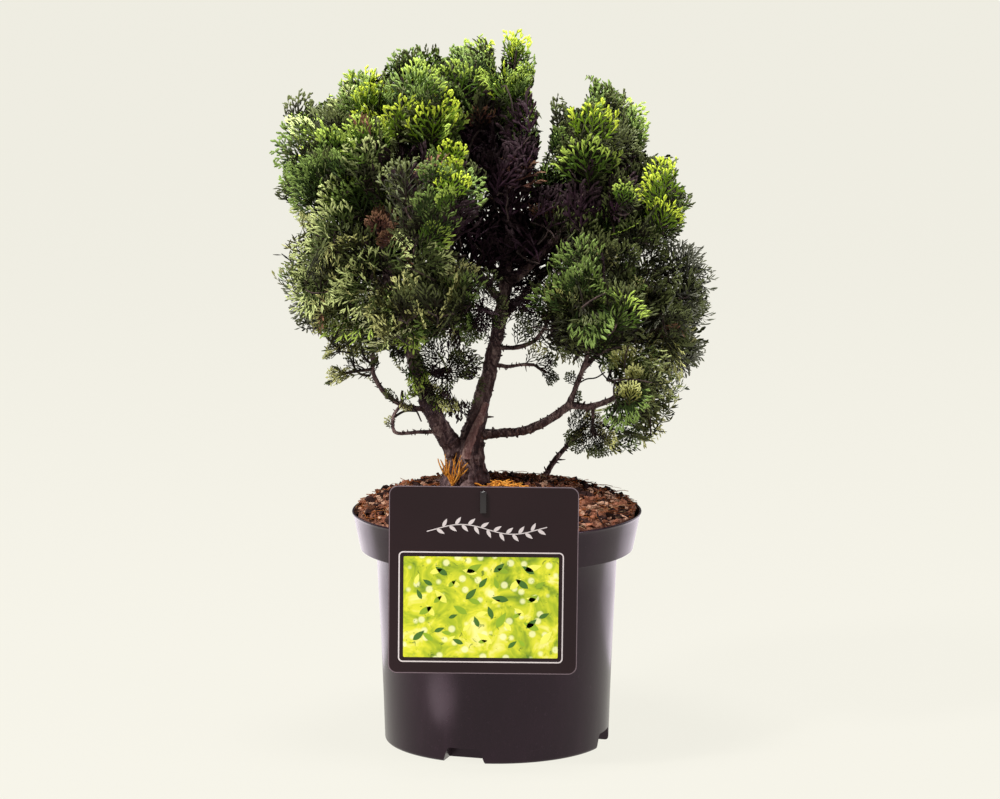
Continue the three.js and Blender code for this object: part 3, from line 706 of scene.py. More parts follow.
def crease_fill(p, normal):
    """How far a point in a crease has to rise to reach the common skin."""
    return next((rise for rise in range(0, DEEPEST_FILL, 2) if outside(p + normal * rise) > 0), DEEPEST_FILL)


def away_from_limbs(p, clear):
    """Whether points keep clear of every limb."""
    d = norm(LIMB_POINTS[None] - p[:, None], axis=2) - LIMB_RADII[None]
    return d.min() > clear


def directions_for(space, count, random):
    """The ways of a mass's twigs, as in the source."""
    outward = unit(space.centre - CROWN_HEART)
    rows = [outward, v(0, 0, 1)]
    for i in range(count - 2):
        z = 1 - (2 * (i + 0.5)) / (count - 2)
        ring = math.sqrt(1 - z * z)
        a = i * GOLDEN + random() * 0.6
        rows.append(unit(v(ring * math.cos(a), ring * math.sin(a), z) + outward * 0.5))
    return np.array(rows)


def fine_directions(count, r):
    """Even ways all round, a little disturbed."""
    i = np.arange(count)
    z = 1 - 2 * (i + 0.5) / count
    ring = np.sqrt(1 - z * z)
    a = i * GOLDEN + r.uniform(0, ANY_WAY)
    return unit(np.stack([ring * np.cos(a), ring * np.sin(a), z], 1) + r.normal(0, 0.07, (count, 3)))


def stem_start(space):
    """The limbs' point nearest to a mass's middle, of those inside the mass if there are any."""
    d = norm(LIMB_POINTS - space.centre, axis=1)
    inner = space.inside(LIMB_POINTS)
    if inner.any():
        d[~inner] = 1e9
    return LIMB_POINTS[int(np.argmin(d))]


def curved(a, b, bow, steps, r):
    """A path from a to b that bows to one side."""
    t = np.linspace(0, 1, steps + 1)[:, None]
    side = unit(np.cross(b - a, r.normal(0, 1, 3))) * bow * norm(b - a)
    return a + (b - a) * t + side * 4 * t * (1 - t)


def hidden(space, p, u):
    """Whether another mass lies over a point of this one's skin, on the way u."""
    probes = p + u * v(12, 22, 34, 48)[:, None]
    return any(o.inside(probes).any() for o in SPACES if o is not space)


def ray_hits(x, z):
    """The points at which the line of sight through a front-view point is inside the crown."""
    p = at_depth(x, z, np.linspace(-110, 125, 60))
    return p[np.logical_or.reduce([space.inside(p) for space in DENSE])]


def at_rim(p):
    """Whether sky lies just outside a point, as seen from the front."""
    q = front_view(p)
    beyond = q + unit(q - front_view(CROWN_HEART)) * RIM_WIDTH
    return not len(ray_hits(*beyond))


def ragged(p):
    """Slow waves over the crown, from 0 to 1, by which its skin rises and falls."""
    x, y, z = p / 9.0
    wave = math.sin(x + 1.7 * math.sin(0.7 * z + y)) * math.sin(1.1 * z + 1.3 * math.sin(0.8 * x - y))
    return 0.5 + 0.5 * wave


def kept_in_box(tip, grow, face, length):
    """The shift that brings a spray's corners back inside the crown's box."""
    side = np.cross(grow, face)
    ends = np.array([tip, tip - grow * length, tip - grow * length * 0.3 + side * length * 0.5,
                     tip - grow * length * 0.3 - side * length * 0.5])
    over = np.maximum(ends - (HIGH + PROUD), 0).max(0)
    under = np.maximum((LOW - PROUD) - ends, 0).max(0)
    return under - over


def facing(grow, way):
    """The way a spray's flat side looks, at right angles to its growth and as near to way as that allows."""
    return np.cross(grow, np.cross(way, grow))


def grow_twig(start, end, bow, steps, radii, r):
    path = curved(start, end, bow, steps, r)
    TWIGS.append((path, np.linspace(*radii, len(path))))
    return path


def planned_spray(space, layer, u, foot, r):
    """Where a spray stands and how it lies, under a mass's skin on the way u, or None if it is left out."""
    reach = float(space.reach(u))
    skin = space.centre + u * reach
    crown_normal = unit((skin - CROWN_HEART) / CROWN_SIZE**2)
    walled = reach < WALLED * float(space.ellipsoid(u))
    covered = hidden(space, skin, crown_normal) or crown_depth(skin) < INNER
    if r.random() > LACY.get(space.name, 1):
        return None
    if covered and r.random() < COVERED_SKIPPED[layer]:
        return None
    rim = not covered and at_rim(skin)
    if rim and r.random() > RIM_KEPT[layer]:
        return None
    if walled and not covered and not rim and not hollow_tones(skin):
        skin = skin + crown_normal * crease_fill(skin, crown_normal)
    normal = unit(unit(u / space.half**2) * 0.4 + crown_normal * 0.6)
    away = unit(unit(skin - foot) * 0.7 + unit(skin - CROWN_FOOT) * 1.3)
    along = away - normal * float(away @ normal)
    lean = r.uniform(*LEAN[layer])
    rise = 0.2 if skin[2] > MIDWAY else -0.1
    stray = 0.22 if skin[2] > HIGH_UP else 0.36
    grow = unit(along * 1.0 + normal * lean + v(0, 0, rise) + r.normal(0, stray, 3))
    size = min(r.uniform(*SPRAY_SIZE), 0.85 * space.mean / FAN + 0.15)
    share = r.uniform(*LAYER_SHARE[layer]) - RAGGED * (1 - ragged(skin))
    tip = skin - u * reach * (1 - share) + along * r.uniform(0, 8)
    face = normal - grow * float(normal @ grow)
    if norm(face) < 0.2:
        face = np.cross(grow, r.normal(0, 1, 3))
    if rim:  # the rim's sprays stand out in the plane of the front view, some way turned
        face = facing(grow, v(r.normal(0, 0.5), -1, r.normal(0, 0.3)))
    roll = r.normal(0, 0.38) if r.random() < MOSTLY else r.uniform(-ROLL_FEW, ROLL_FEW)
    face = unit(face)
    face = face * math.cos(roll) + np.cross(grow, face) * math.sin(roll)
    for _ in range(8):  # the tip is drawn in until it is inside the mass, or the filled crease
        if space.inside(tip[None], 1.0 if not walled or covered else DEEPEST_FILL)[0]:
            break
        tip = tip - u * 1.5 - along * 1.0
    tip = tip + kept_in_box(tip, grow, face, FAN * size)
    base = tip - grow * FAN * size
    for _ in range(6):  # the foot is raised until it is inside too
        if space.inside(base[None], 0.0 if not walled else 14.0)[0]:
            break
        size *= 0.92
        grow = unit(grow + 0.18 * normal)
        base = tip - grow * FAN * size
    ends = np.array([base, (base + tip) / 2, tip])
    if not away_from_limbs(ends, 1.0) or in_sky(ends).any():
        return None
    if hollow_tones(tip) and r.random() < HOLLOW_SKIPPED:
        return None
    return base, tip, grow, face, size, layer, covered, u, rim


def dealt_tone(space, layer, covered, rim, tip, u, r):
    """The tone of a spray, by the light that reaches it."""
    tone = str(r.choice(space.tones, p=space.shares))
    in_heart = abs(tip[0] - HEART_X) < HEART_WIDTH and tip[1] > HEART_Y
    if in_heart and (layer == "heart" or (covered and crown_depth(tip) < SHADED)):
        tone = "shade"
    elif hollow_tones(tip):
        tone = str(r.choice(hollow_tones(tip)))
    elif layer == "heart":
        tone = "deep"
    elif layer == "under" or covered:
        tone = UNDER_TONE.get(tone, tone)
    # lime sprays that face down are given the darker fresh tone, as painted shade
    elif tone == "lime" and u[2] < -0.15:
        tone = "fresh"
    if (layer == "under" or covered) and not rim and r.random() < DEAD_SHARE:
        tone = "dead"
    return tone


def dealt_bank(space, layer, covered, rim, height, tone, r):
    """The kind of a spray: coarse and plain where little of it shows."""
    if tone == "shade" or layer == "heart":
        return DARK
    if rim or (space.name in LACY and layer == "outer"):
        return LACE if height < 385 else ANTLER
    if layer != "outer" or covered:
        return PLAIN
    if height < HIGH_UP:
        return LACE if r.random() < 0.6 else BRUSH
    if r.random() < 0.15:
        return SLIM
    return ANTLER if r.random() < min(max((height - 320) / 80, 0.15), 0.85) else BRUSH


def grow_mass(space, seed):
    """A dense mass: sprays in three layers round its twigs, each on a twig from the nearest one."""
    random = seeded(seed)
    r = default_rng(seed)
    # the mass fans out from low on its inner side
    foot = space.centre - unit(space.centre - CROWN_HEART) * 0.6 * space.mean - v(0, 0, 0.55 * space.half[2])
    nodes = [grow_twig(stem_start(space), space.centre, 0.06, 6, TWIG_STEM, r)]
    for u in directions_for(space, space.count, random):
        nodes.append(grow_twig(space.centre, space.centre + u * space.reach(u) * 0.5, 0.08, 4, TWIG_SIDE, r))
    nodes = np.vstack(nodes)
    plans = []
    for layer, cover in SPRAY_COVER.items():
        count = int(4 * math.pi * space.mean**2 / cover) + 4
        plans += [planned_spray(space, layer, u, foot, r) for u in fine_directions(count, r)]
    plans = [plan for plan in plans if plan]
    plans.sort(key=lambda plan: float(norm(plan[0] - space.centre)))
    for base, tip, grow, face, size, layer, covered, u, rim in plans:
        d = norm(nodes - base, axis=1)
        k = int(np.argmin(d))
        if d[k] > 1.0:
            nodes = np.vstack([nodes, grow_twig(nodes[k], base, 0.1, 3, TWIG_FINE, r)[1:]])
        tone = dealt_tone(space, layer, covered, rim, tip, u, r)
        kind = dealt_bank(space, layer, covered, rim, tip[2], tone, r)
        curl = r.uniform(-0.3, 0.12) if tip[2] > HIGH_UP else r.uniform(-0.35, 0.2)
        foliage.add(kind[int(r.integers(len(kind)))], tone, base, grow, face, size,
                    r.uniform(-0.45, 0.15), curl, r.normal(0, 0.25))


def add_spray(kind, tone, base, grow, face, size, cup, curl, twist, r):
    """A spray of a kind, cupped, curled and twisted by chance."""
    foliage.add(kind[int(r.integers(len(kind)))], tone, base, grow, face, size,
                r.uniform(*cup), r.uniform(*curl), r.normal(0, twist))


def grow_open(space, seed):
    """A sparse mass: small forked sprays on thin twigs, which grow on the way its limb points."""
    random = seeded(seed)
    r = default_rng(seed)
    start = stem_start(space)
    stem = grow_twig(start, space.centre, 0.06, 5, (1.3, 0.8), r)
    ahead = unit(space.centre - start + v(0, 0, 1e-3))
    for u in directions_for(space, int(space.count * FULLNESS.get(space.name, 2.2)), random):
        u = unit(u + ahead * 0.4)
        reach = float(space.reach(u))
        base = space.centre + u * reach * r.uniform(0.1, 0.35)
        path = curved(stem[int(r.integers(2, len(stem)))], base, 0.12, 3, r)
        grow = unit(u + v(0, 0, 0.12) + r.normal(0, 0.15, 3))
        size = min(reach * r.uniform(0.75, 1.0) / FAN, 0.75)
        tip = base + grow * FAN * size
        if not away_from_limbs(np.array([(base + tip) / 2, tip]), 1.0) or in_sky(np.array([base, tip])).any():
            continue
        TWIGS.append((path, np.linspace(*TWIG_FINE, len(path))))
        face = unit(facing(grow, v(*r.normal(0, 0.5, 2), 0) + v(0, -1, 0.3)))
        tone = str(r.choice(space.tones, p=space.shares))
        kind = SLIM if r.random() < 0.5 else LACE
        add_spray(kind, tone, base, grow, face, size, (-0.3, 0.1), (-0.3, 0.3), 0.3, r)


for i, space in enumerate(SPACES):
    (grow_mass if space.dense else grow_open)(space, 101 + i)

# Sprays that stand out, by where their tips are in the front view: tip x, tip z, heading in degrees from
# straight up, size and tone. Those of the rim stand against the sky, and the others lie on the crown's front.
# Their tones are partly the sprays' own and partly painted light and shade: lime where light falls on tips,
# deep where the front lies in shade.
RIM_SPRAYS = [
    (-130, 428, -4, 0.8, "deep"), (-144, 396, -55, 0.8, "green"), (-97, 441, -16, 0.9, "fresh"),
    (-82, 443, 6, 0.9, "lime"), (-58, 457, 0, 0.75, "green"), (-12, 464, 6, 0.9, "fresh"),
    (-26, 458, -18, 0.75, "green"), (9, 469, 3, 0.9, "lime"), (20, 455, 8, 0.85, "green"),
    (37, 427, -10, 0.95, "deep"), (61, 436, -3, 1.0, "deep"), (75, 434, 12, 0.95, "green"),
    (93, 422, 36, 0.85, "fresh"), (96, 409, 55, 0.8, "fresh"), (113, 386, 8, 0.9, "lime"),
    (128, 357, 62, 0.7, "deep"), (120, 345, 70, 0.85, "deep"), (134, 309, 74, 0.9, "deep"),
    (137, 293, 92, 0.85, "deep"), (131, 267, 104, 0.8, "olive"), (-136, 357, -75, 0.85, "sage"),
    (-135, 318, -84, 0.9, "sage"), (-139, 291, -95, 0.85, "slate"), (-133, 280, -110, 0.8, "slate"),
    (-108, 262, -124, 0.75, "olive"), (-139, 375, -68, 0.8, "green"), (122, 331, 20, 0.8, "slate"),
    (131, 326, 35, 0.75, "slate"), (135, 253, 115, 0.75, "slate"), (129, 244, 125, 0.7, "slate"),
]
FRONT_SPRAYS = [
    (-27, 396, 8, 0.6, "lime"), (-30, 386, -6, 0.6, "lime"), (-26, 376, 14, 0.6, "lime"),
    (-31, 367, 4, 0.6, "fresh"), (-41, 383, -8, 0.7, "green"), (-43, 366, 0, 0.7, "green"),
    (-32, 340, 48, 0.7, "fresh"), (-28, 320, 75, 0.7, "sage"), (-36, 421, 10, 0.95, "lime"),
    (-48, 447, 8, 0.85, "fresh"), (-78, 434, 4, 0.8, "lime"), (-108, 406, -14, 0.95, "fresh"),
    (-82, 411, 10, 0.9, "fresh"), (-127, 383, -36, 0.9, "green"), (4, 303, 26, 0.8, "fresh"),
    (85, 297, 9, 0.9, "fresh"), (65, 422, 9, 1.0, "lime"), (54, 398, -14, 0.95, "fresh"),
    (111, 382, 4, 0.85, "lime"), (99, 374, -20, 0.8, "lime"), (114, 357, 30, 0.75, "lime"),
    (84, 369, 10, 0.5, "fresh"), (-62, 425, -4, 0.95, "lime"), (-118, 350, -52, 0.95, "sage"),
    (-96, 372, -24, 0.95, "green"), (-34, 353, 10, 0.7, "green"), (82, 262, -4, 0.5, "pale"),
    (92, 249, 20, 0.4, "pale"), (88, 238, 4, 0.45, "pale"), (76, 286, 0, 0.9, "green"),
    (44, 312, -6, 0.9, "green"), (58, 318, 8, 0.85, "green"), (30, 306, -22, 0.8, "green"),
    (96, 214, 140, 0.7, "green"), (84, 206, 165, 0.7, "green"), (-56, 258, 172, 0.6, "fresh"),
    (-48, 246, 150, 0.6, "fresh"), (-12, 372, 42, 0.8, "green"), (-58, 336, 30, 0.9, "sage"),
    (56, 347, -8, 0.85, "deep"), (73, 353, 4, 0.9, "green"), (93, 346, 10, 0.85, "deep"),
    (106, 334, 25, 0.8, "deep"), (83, 333, 8, 0.8, "deep"), (50, 331, -18, 0.85, "green"),
    (66, 338, -2, 0.9, "deep"), (-64, 236, -170, 0.55, "olive"), (-52, 228, 175, 0.6, "olive"),
    (-44, 232, 150, 0.6, "green"), (-70, 352, 20, 0.5, "dead"), (-82, 348, -30, 0.5, "dead"),
    (-65, 337, 75, 0.45, "dead"), (-78, 333, -75, 0.4, "dead"),
]


def placed_spray(x, z, degrees, size, tone, on_rim, r):
    """One spray of the tables above, on the crown where the front view shows its tip."""
    way = v(math.sin(math.radians(degrees)), 0, math.cos(math.radians(degrees)))
    back = 0.72 if on_rim else 0.4
    hits = ray_hits(x - way[0] * FAN * size * back, z - way[2] * FAN * size * back)
    if not len(hits):
        return
    tip = at_depth(x, z, hits[:, 1].mean() if on_rim else hits[0, 1] - 1)
    grow = unit(way + v(0, 0 if on_rim else -0.38, 0) + r.normal(0, 0.05, 3))
    face = unit(facing(grow, v(r.normal(0, 0.5), -1, r.normal(0, 0.3))))
    kind = ANTLER if z > 360 else BRUSH
    add_spray(kind, tone, tip - grow * FAN * size, grow, face, size, (-0.3, 0.05), (-0.25, 0.0), 0.15, r)


r = default_rng(31)
for on_rim, rows in ((True, RIM_SPRAYS), (False, FRONT_SPRAYS)):
    for row in rows:
        placed_spray(*row, on_rim, r)

# gnarled bare twigs: radius at the foot, and route
BARE_TWIGS = [
    (1.0, [(-80, -20, 252), (-85, -20, 256), (-87, -19, 262), (-82, -19, 262), (-79, -20, 255),
     (-80, -20, 250)]),
    (1.0, [(-82, -20, 245), (-88, -20, 246), (-92, -20, 250), (-93, -20, 258), (-95, -20, 266)]),
    (0.6, [(-91, -20, 249), (-98, -21, 247), (-104, -22, 244), (-109, -22, 239)]),
    (0.6, [(-94, -20, 260), (-102, -21, 261), (-110, -22, 259)]),
    (0.8, [(-80, -20, 258), (-81, -19, 266), (-79, -18, 274)]),
    (0.8, [(-58, -16, 224), (-53, -15, 222), (-49, -14, 214)]),
    (0.9, [(-54, -14, 231), (-50, -14, 240), (-52, -14, 250), (-48, -15, 258)]),
    (0.9, [(-66, -24, 219), (-60, -22, 222), (-52, -16, 221)]),
    (0.5, [(53, -20, 240), (58, -21, 243), (64, -22, 244), (70, -24, 248)]),
    (0.5, [(57, -22, 254), (62, -23, 258), (66, -24, 262)]),
]
for radius, route in BARE_TWIGS:
    TWIGS.append((catmull(route, 14), np.linspace(radius, TWIG_FINE[1], 14)))

# small sprays on the bare twigs: foot, heading (x, y, z), size, tone
TWIG_SPRAYS = [
    ((25, -12, 251), (0.85, -0.1, -0.5), 0.4, "deep"), ((24, -12, 251), (0.9, 0.0, 0.25), 0.45, "deep"),
    ((18, -10, 251), (0.7, -0.2, 0.7), 0.5, "olive"), ((24, -8, 266), (0.9, -0.2, -0.1), 0.5, "deep"),
    ((12, -2, 261), (0.4, -0.3, 0.9), 0.55, "deep"), ((6, 4, 275), (0.5, -0.3, 0.8), 0.6, "shade"),
    ((10, 4, 283), (0.75, -0.2, 0.6), 0.6, "shade"), ((20, -6, 268), (0.5, 0.2, 0.9), 0.6, "deep"),
    ((4, 6, 290), (0.8, -0.4, 0.3), 0.6, "shade"), ((52, -20, 238), (-0.5, -0.2, 0.8), 0.35, "deep"),
    ((62, -22, 226), (0.4, -0.4, 0.85), 0.4, "deep"), ((47, -20, 226), (0.75, -0.3, 0.7), 0.35, "deep"),
    ((-66, -24, 210), (-0.4, -0.3, 0.8), 0.3, "olive"), ((-74, -18, 236), (-0.8, -0.2, 0.3), 0.4, "olive"),
    ((-97, -21, 247), (-0.9, -0.2, 0.15), 0.33, "olive"),
    ((-103, -22, 244), (-0.8, -0.2, -0.5), 0.25, "deep"), ((-99, -21, 246), (-0.6, -0.2, 0.6), 0.25, "deep"),
    ((-92, -20, 250), (-0.6, -0.3, 0.7), 0.3, "deep"), ((-99, -21, 261), (-0.9, -0.2, 0.2), 0.38, "olive"),
    ((-104, -22, 260), (-0.8, -0.2, -0.4), 0.28, "olive"),
    ((-95, -20, 262), (-0.3, -0.3, 0.9), 0.4, "olive"), ((-80, -20, 246), (0.2, -0.3, 0.9), 0.3, "deep"),
    ((-80, -20, 248), (-0.9, -0.2, -0.2), 0.6, "olive"), ((-80, -20, 250), (0.6, -0.2, 0.8), 0.45, "olive"),
    ((-61, -24, 228), (0.5, -0.3, 0.8), 0.5, "olive"), ((-62, -24, 226), (-0.6, -0.2, 0.8), 0.4, "deep"),
    ((-50, -9, 236), (0.6, -0.5, -0.5), 0.6, "fresh"), ((-48, -8, 232), (0.75, -0.5, -0.3), 0.6, "fresh"),
    ((-53, -12, 250), (-0.3, -0.6, -0.6), 0.7, "fresh"), ((-56, -14, 262), (0.2, -0.7, -0.6), 0.8, "fresh"),
    ((-46, -9, 228), (0.35, -0.7, 0.5), 0.6, "olive"), ((-52, -10, 242), (-0.8, -0.3, 0.2), 0.5, "olive"),
    ((54, 34, 198), (0.4, -0.2, 0.9), 0.6, "deep"), ((48, 36, 192), (0.9, -0.2, 0.5), 0.5, "deep"),
    ((44, 38, 186), (0.6, -0.3, 0.75), 0.45, "deep"), ((52, 35, 196), (-0.3, -0.3, 0.9), 0.4, "deep"),
]
for foot, way, size, tone in TWIG_SPRAYS:
    grow = unit(v(*way))
    face = unit(facing(grow, v(r.normal(0, 0.5), -1, 0.2)))
    add_spray(SLIM, tone, v(*foot), grow, face, size, (-0.3, 0.1), (-0.4, 0.4), 0.3, r)

# ---------------- foliage pieces


FOLIAGE_NODES = [space.name + "_foliage" for space in SPACES]
PIECE_BLADES = 38000  # leaf elements in one piece at most
GLOSS = {"tips": 0.26, "middle": 0.12, "foot": 0.06}
SHADE_GLOSS = 0.05
BLADE = np.array([[0, 1, 5], [1, 2, 5], [2, 3, 5], [3, 4, 5], [4, 0, 5]])  # a leaf element's five faces
for (tone, zone), six in sorted(foliage.elements().items()):
    colour = srgb(*TONES[tone][ZONES.index(zone)])
    material = leaf_material(f"{tone}_{zone}", colour, SHADE_GLOSS if tone == "shade" else GLOSS[zone])
    for k in range(0, len(six), PIECE_BLADES):
        part = six[k : k + PIECE_BLADES]
        faces = (BLADE[None] + 6 * np.arange(len(part))[:, None, None]).reshape(-1, 3)
        name = f"sprays_{tone}_{zone}_{k // PIECE_BLADES}"
        mesh_piece(name, part.reshape(-1, 3), faces, material, "foliage", FOLIAGE_NODES)

# ---------------- twigs and bark


def tube_rings(points, radii, sides):
    """Rings of vertices round a path, without twisting."""
    points = np.asarray(points, float)
    tangent = unit(np.gradient(points, axis=0))
    ref = v(0.31, 0.87, 0.12) if abs(tangent[0] @ v(0.31, 0.87, 0.12)) < 0.9 else v(1, 0, 0)
    normals = []
    n = unit(ref - tangent[0] * (ref @ tangent[0]))
    for t in tangent:
        n = unit(n - t * (n @ t))
        normals.append(n)
    normals = np.array(normals)
    across = np.cross(tangent, normals)
    a = np.linspace(0, 2 * np.pi, sides, endpoint=False)
    radii = np.broadcast_to(np.asarray(radii, float).reshape(len(points), -1), (len(points), sides))
    c, s = np.cos(a)[None, :, None], np.sin(a)[None, :, None]
    return (points[:, None] + radii[..., None] * (c * normals[:, None] + s * across[:, None])).reshape(-1, 3)


def tube_faces(rings, sides):
    i, j = np.meshgrid(np.arange(rings - 1), np.arange(sides), indexing="ij")
    a = i * sides + j
    b = i * sides + (j + 1) % sides
    return np.stack([a, b, b + sides, a + sides], -1).reshape(-1, 4)


def tube(points, radii, sides):
    return tube_rings(points, radii, sides), tube_faces(len(points), sides)


def smooth_noise(u, w, seed, period):
    """Periodic noise over (length, angle): u in cells along, w in cells round."""
    grid = default_rng(seed).uniform(-1, 1, (64, period))
    i, j = np.floor(u).astype(int), np.floor(w).astype(int)
    fu, fw = u - i, w - j
    fu, fw = fu * fu * (3 - 2 * fu), fw * fw * (3 - 2 * fw)
    cells = (j % period, (j + 1) % period)
    near, far = (grid[i % 64, k] * (1 - fu) + grid[(i + 1) % 64, k] * fu for k in cells)
    return near * (1 - fw) + far * fw


def bark_tube(limb, seed, sides, step, foot=False, collar=0.5):
    """A limb with its bark: flaking plates, furrows and knobs, and a collar where it leaves its carrier."""
    length = limb.length()
    n = max(8, int(length / step))
    t = np.linspace(0, 1, n)
    radius = limb.radius(t)
    a = np.linspace(0, 2 * np.pi, sides, endpoint=False)
    u = (t * length)[:, None] + 0 * a[None]
    w = a[None] / (2 * np.pi) + 0 * u
    plates = smooth_noise(u / 5.5, w * 8 + u * 0.03, seed, 8)
    flakes = smooth_noise(u / 2.2, w * 13, seed + 1, 13)
    knobs = smooth_noise(u / 6.5, w * 5, seed + 2, 5)
    rings = smooth_noise(u / 1.7, w * 3, seed + 3, 3)
    rough = 0.5 * plates + 0.45 * np.abs(flakes) + 0.3 * rings + 1.1 * np.maximum(knobs - 0.1, 0) ** 1.5
    r = radius[:, None] + rough * np.minimum(0.32 * radius, 1.25)[:, None]
    if foot:  # ribs of the root flare
        swell = np.exp(-((t / 0.1) ** 2))[:, None]
        ribs = 1 + 0.12 * swell * np.cos(5 * a[None] + 0.03 * u)
        r = r * ribs * (1 + 0.05 * swell * np.cos(11 * a[None] + u / 6))
    else:
        r = r * (1 + collar * np.exp(-u / (1.6 * radius[0])))
    r[-1] *= 0.3
    return tube(catmull(limb.route, n), r, sides)


limb_parts = []
for k, (name, limb) in enumerate(LIMBS.items()):
    if name == "trunk":
        limb_parts.append(bark_tube(limb, 40, 56, 0.8, foot=True))
        continue
    heavy = name == "left_leader"
    sides, step = (36, 0.8) if heavy else (10, 2.0) if name.endswith("_branch") else (18, 0.7)
    limb_parts.append(bark_tube(limb, 50 + 7 * k, sides, step, collar=0.15 if heavy else 0.4))

# the knobs left by shed twigs, close together along every bare limb, and a few longer dead stubs
r = default_rng(77)
KNOB_STEP = {"trunk": 2.6, "left_leader": 2.6}
for name, limb in LIMBS.items():
    if name.endswith("_branch"):
        continue
    pts = limb.fine()
    count = int(limb.length() / KNOB_STEP.get(name, 1.9))
    for i in range(count):
        k = int(np.clip((i + r.uniform(0.2, 0.8)) / count * (FINE_STEPS - 1), 3, FINE_STEPS - 5))
        along = unit(pts[k + 1] - pts[k - 1])
        side = unit(np.cross(along, r.normal(0, 1, 3)))
        radius = float(limb.radius(k / (FINE_STEPS - 1)))
        reach = r.uniform(0.8, 1.9) if r.random() < 0.93 else r.uniform(2.5, 6)
        start = pts[k] + side * radius * 0.6
        end = pts[k] + side * (radius + reach) + along * reach * r.uniform(-0.1, 0.8)
        path = curved(start, end, 0.1, 3, r)
        width = min(1.5, radius * 0.55) * r.uniform(0.7, 1.1)
        limb_parts.append(tube(path, width * v(1, 0.85, 0.6, 0.28), 6))


def bark_material(name, dark, mid, pale):
    n = Nodes(name)
    plates = n.noise(230, 6, 0.72, 0.8, (1, 1, 0.45))
    fine = n.noise(1100, 4, 0.7, 0.0, (1, 1, 0.6))
    base = n.ramp(plates, stops((0.4, *dark), (0.5, *mid), (0.63, *pale)))
    aged = n.mix(n.mask(n.noise(48, 3, 0.5), 0.42, 0.0, 0.62, 0.7), base, srgb(*mid))
    n.colour(n.mix(n.mask(fine, 0.35, 0.6, 0.58, 0.0), aged, srgb(*dark)))
    n.rough(fine, 0.62, 0.92)
    n.set(Specular_IOR_Level=0.3)
    n.bump(fine, 0.4, 0.8, after=n.bump(plates, 1.6, 1.0))
    return n.mat


bark = bark_material("bark", (42, 25, 29), (96, 72, 74), (178, 152, 148))
limb_nodes = [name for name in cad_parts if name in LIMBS]
mesh_piece("limbs_bark", *joined(limb_parts), bark, "bark", limb_nodes, smooth=True)

# a paler second stem that lies on the front of the stump and runs up the trunk
front_stem = Limb([(-20, -13, 190), (-19, -13.5, 195), (-17, -12, 201), (-13.5, -9, 210), (-10, -6, 217),
                   (-7, -3, 225)], lambda t: 2.7 - 0.8 * np.asarray(t) ** 0.8)
pale_bark = bark_material("pale_bark", (96, 62, 62), (150, 112, 108), (204, 172, 164))
front = bark_tube(front_stem, 91, 24, 0.7, collar=0.0)
mesh_piece("front_stem", *front, pale_bark, "bark", ["trunk"], smooth=True)

twig_bark = bark_material("twig_bark", (22, 14, 14), (50, 34, 32), (82, 62, 56))
twigs = joined([tube(points, radii, 4) for points, radii in TWIGS])
mesh_piece("twigs", *twigs, twig_bark, "bark", FOLIAGE_NODES, smooth=True)

# ---------------- soil


SOIL = ("soil", ["soil"])  # the slot, and the node that is replaced
CHIPS_EDGE, FIBRES_EDGE, HEAPS_EDGE = 92, 92.5, 94  # radii at which the chips, fibres and heaps end


def soil_level(x, y):
    share = np.minimum(np.hypot(x, y) / (POT_RIM_R - POT_WALL), 1)
    return SOIL_TOP + (SOIL_EDGE - SOIL_TOP) * share**SOIL_POWER


def heaps(x, y):
    """The heaps of loose bark on the soil, which flatten out at its edge."""
    wide = 1.7 * np.sin(x * 0.21 + 1.3 * np.sin(y * 0.13)) * np.cos(y * 0.19 + np.sin(x * 0.17))
    small = 1.0 * np.sin(x * 0.63 + y * 0.3) * np.cos(y * 0.71 - x * 0.22)
    return (wide + small) * (1 - (np.hypot(x, y) / HEAPS_EDGE) ** 6)


def soil_material(name, rows, scale):
    n = Nodes(name)
    grains, fine = n.noise(scale, 5, 0.75, 0.4), n.noise(scale * 4, 3, 0.7)
    colours = stops(*rows)
    n.colour(n.mix(n.mask(fine, 0.4, 0.65, 0.62, 0.0), n.ramp(grains, colours), colours[0][1]))
    n.rough(fine, 0.8, 1.0)
    n.set(Specular_IOR_Level=0.15)
    n.bump(grains, 2.0, 0.8)
    return n.mat


RINGS, AROUND = 63, 180
radii = np.linspace(0, 1, RINGS + 1)[1:] ** 0.9 * 91.2
angles = np.linspace(0, 2 * np.pi, AROUND, endpoint=False)
X, Y = radii[:, None] * np.cos(angles), radii[:, None] * np.sin(angles)
Z = soil_level(X, Y) + heaps(X, Y) + default_rng(5).normal(0, 0.55, X.shape)
Z[-1] = soil_level(X[-1], Y[-1]) - 5
verts = np.vstack([[0, 0, SOIL_TOP], np.stack([X, Y, Z], -1).reshape(-1, 3)])
middle = np.array([[0, 1 + (j + 1) % AROUND, 1 + j] for j in range(AROUND)])[:, ::-1]
mulch = soil_material("mulch", [(0.3, 52, 28, 22), (0.5, 140, 90, 70), (0.7, 204, 158, 132)], 180)
mesh_piece("soil_surface", verts, [tube_faces(RINGS, AROUND) + 1, middle], mulch, *SOIL)

r = default_rng(9)
BOX = np.array([[x, y, z] for z in (-1, 1) for x, y in ((-1, -1), (1, -1), (1, 1), (-1, 1))], float)
BOX_FACES = np.array([[0, 3, 2, 1], [4, 5, 6, 7], [0, 1, 5, 4], [1, 2, 6, 5], [2, 3, 7, 6], [3, 0, 4, 7]])


def scatter(count):
    out = CHIPS_EDGE * np.sqrt(r.uniform(0, 1, count))
    angle = r.uniform(0, 2 * np.pi, count)
    return out * np.cos(angle), out * np.sin(angle)


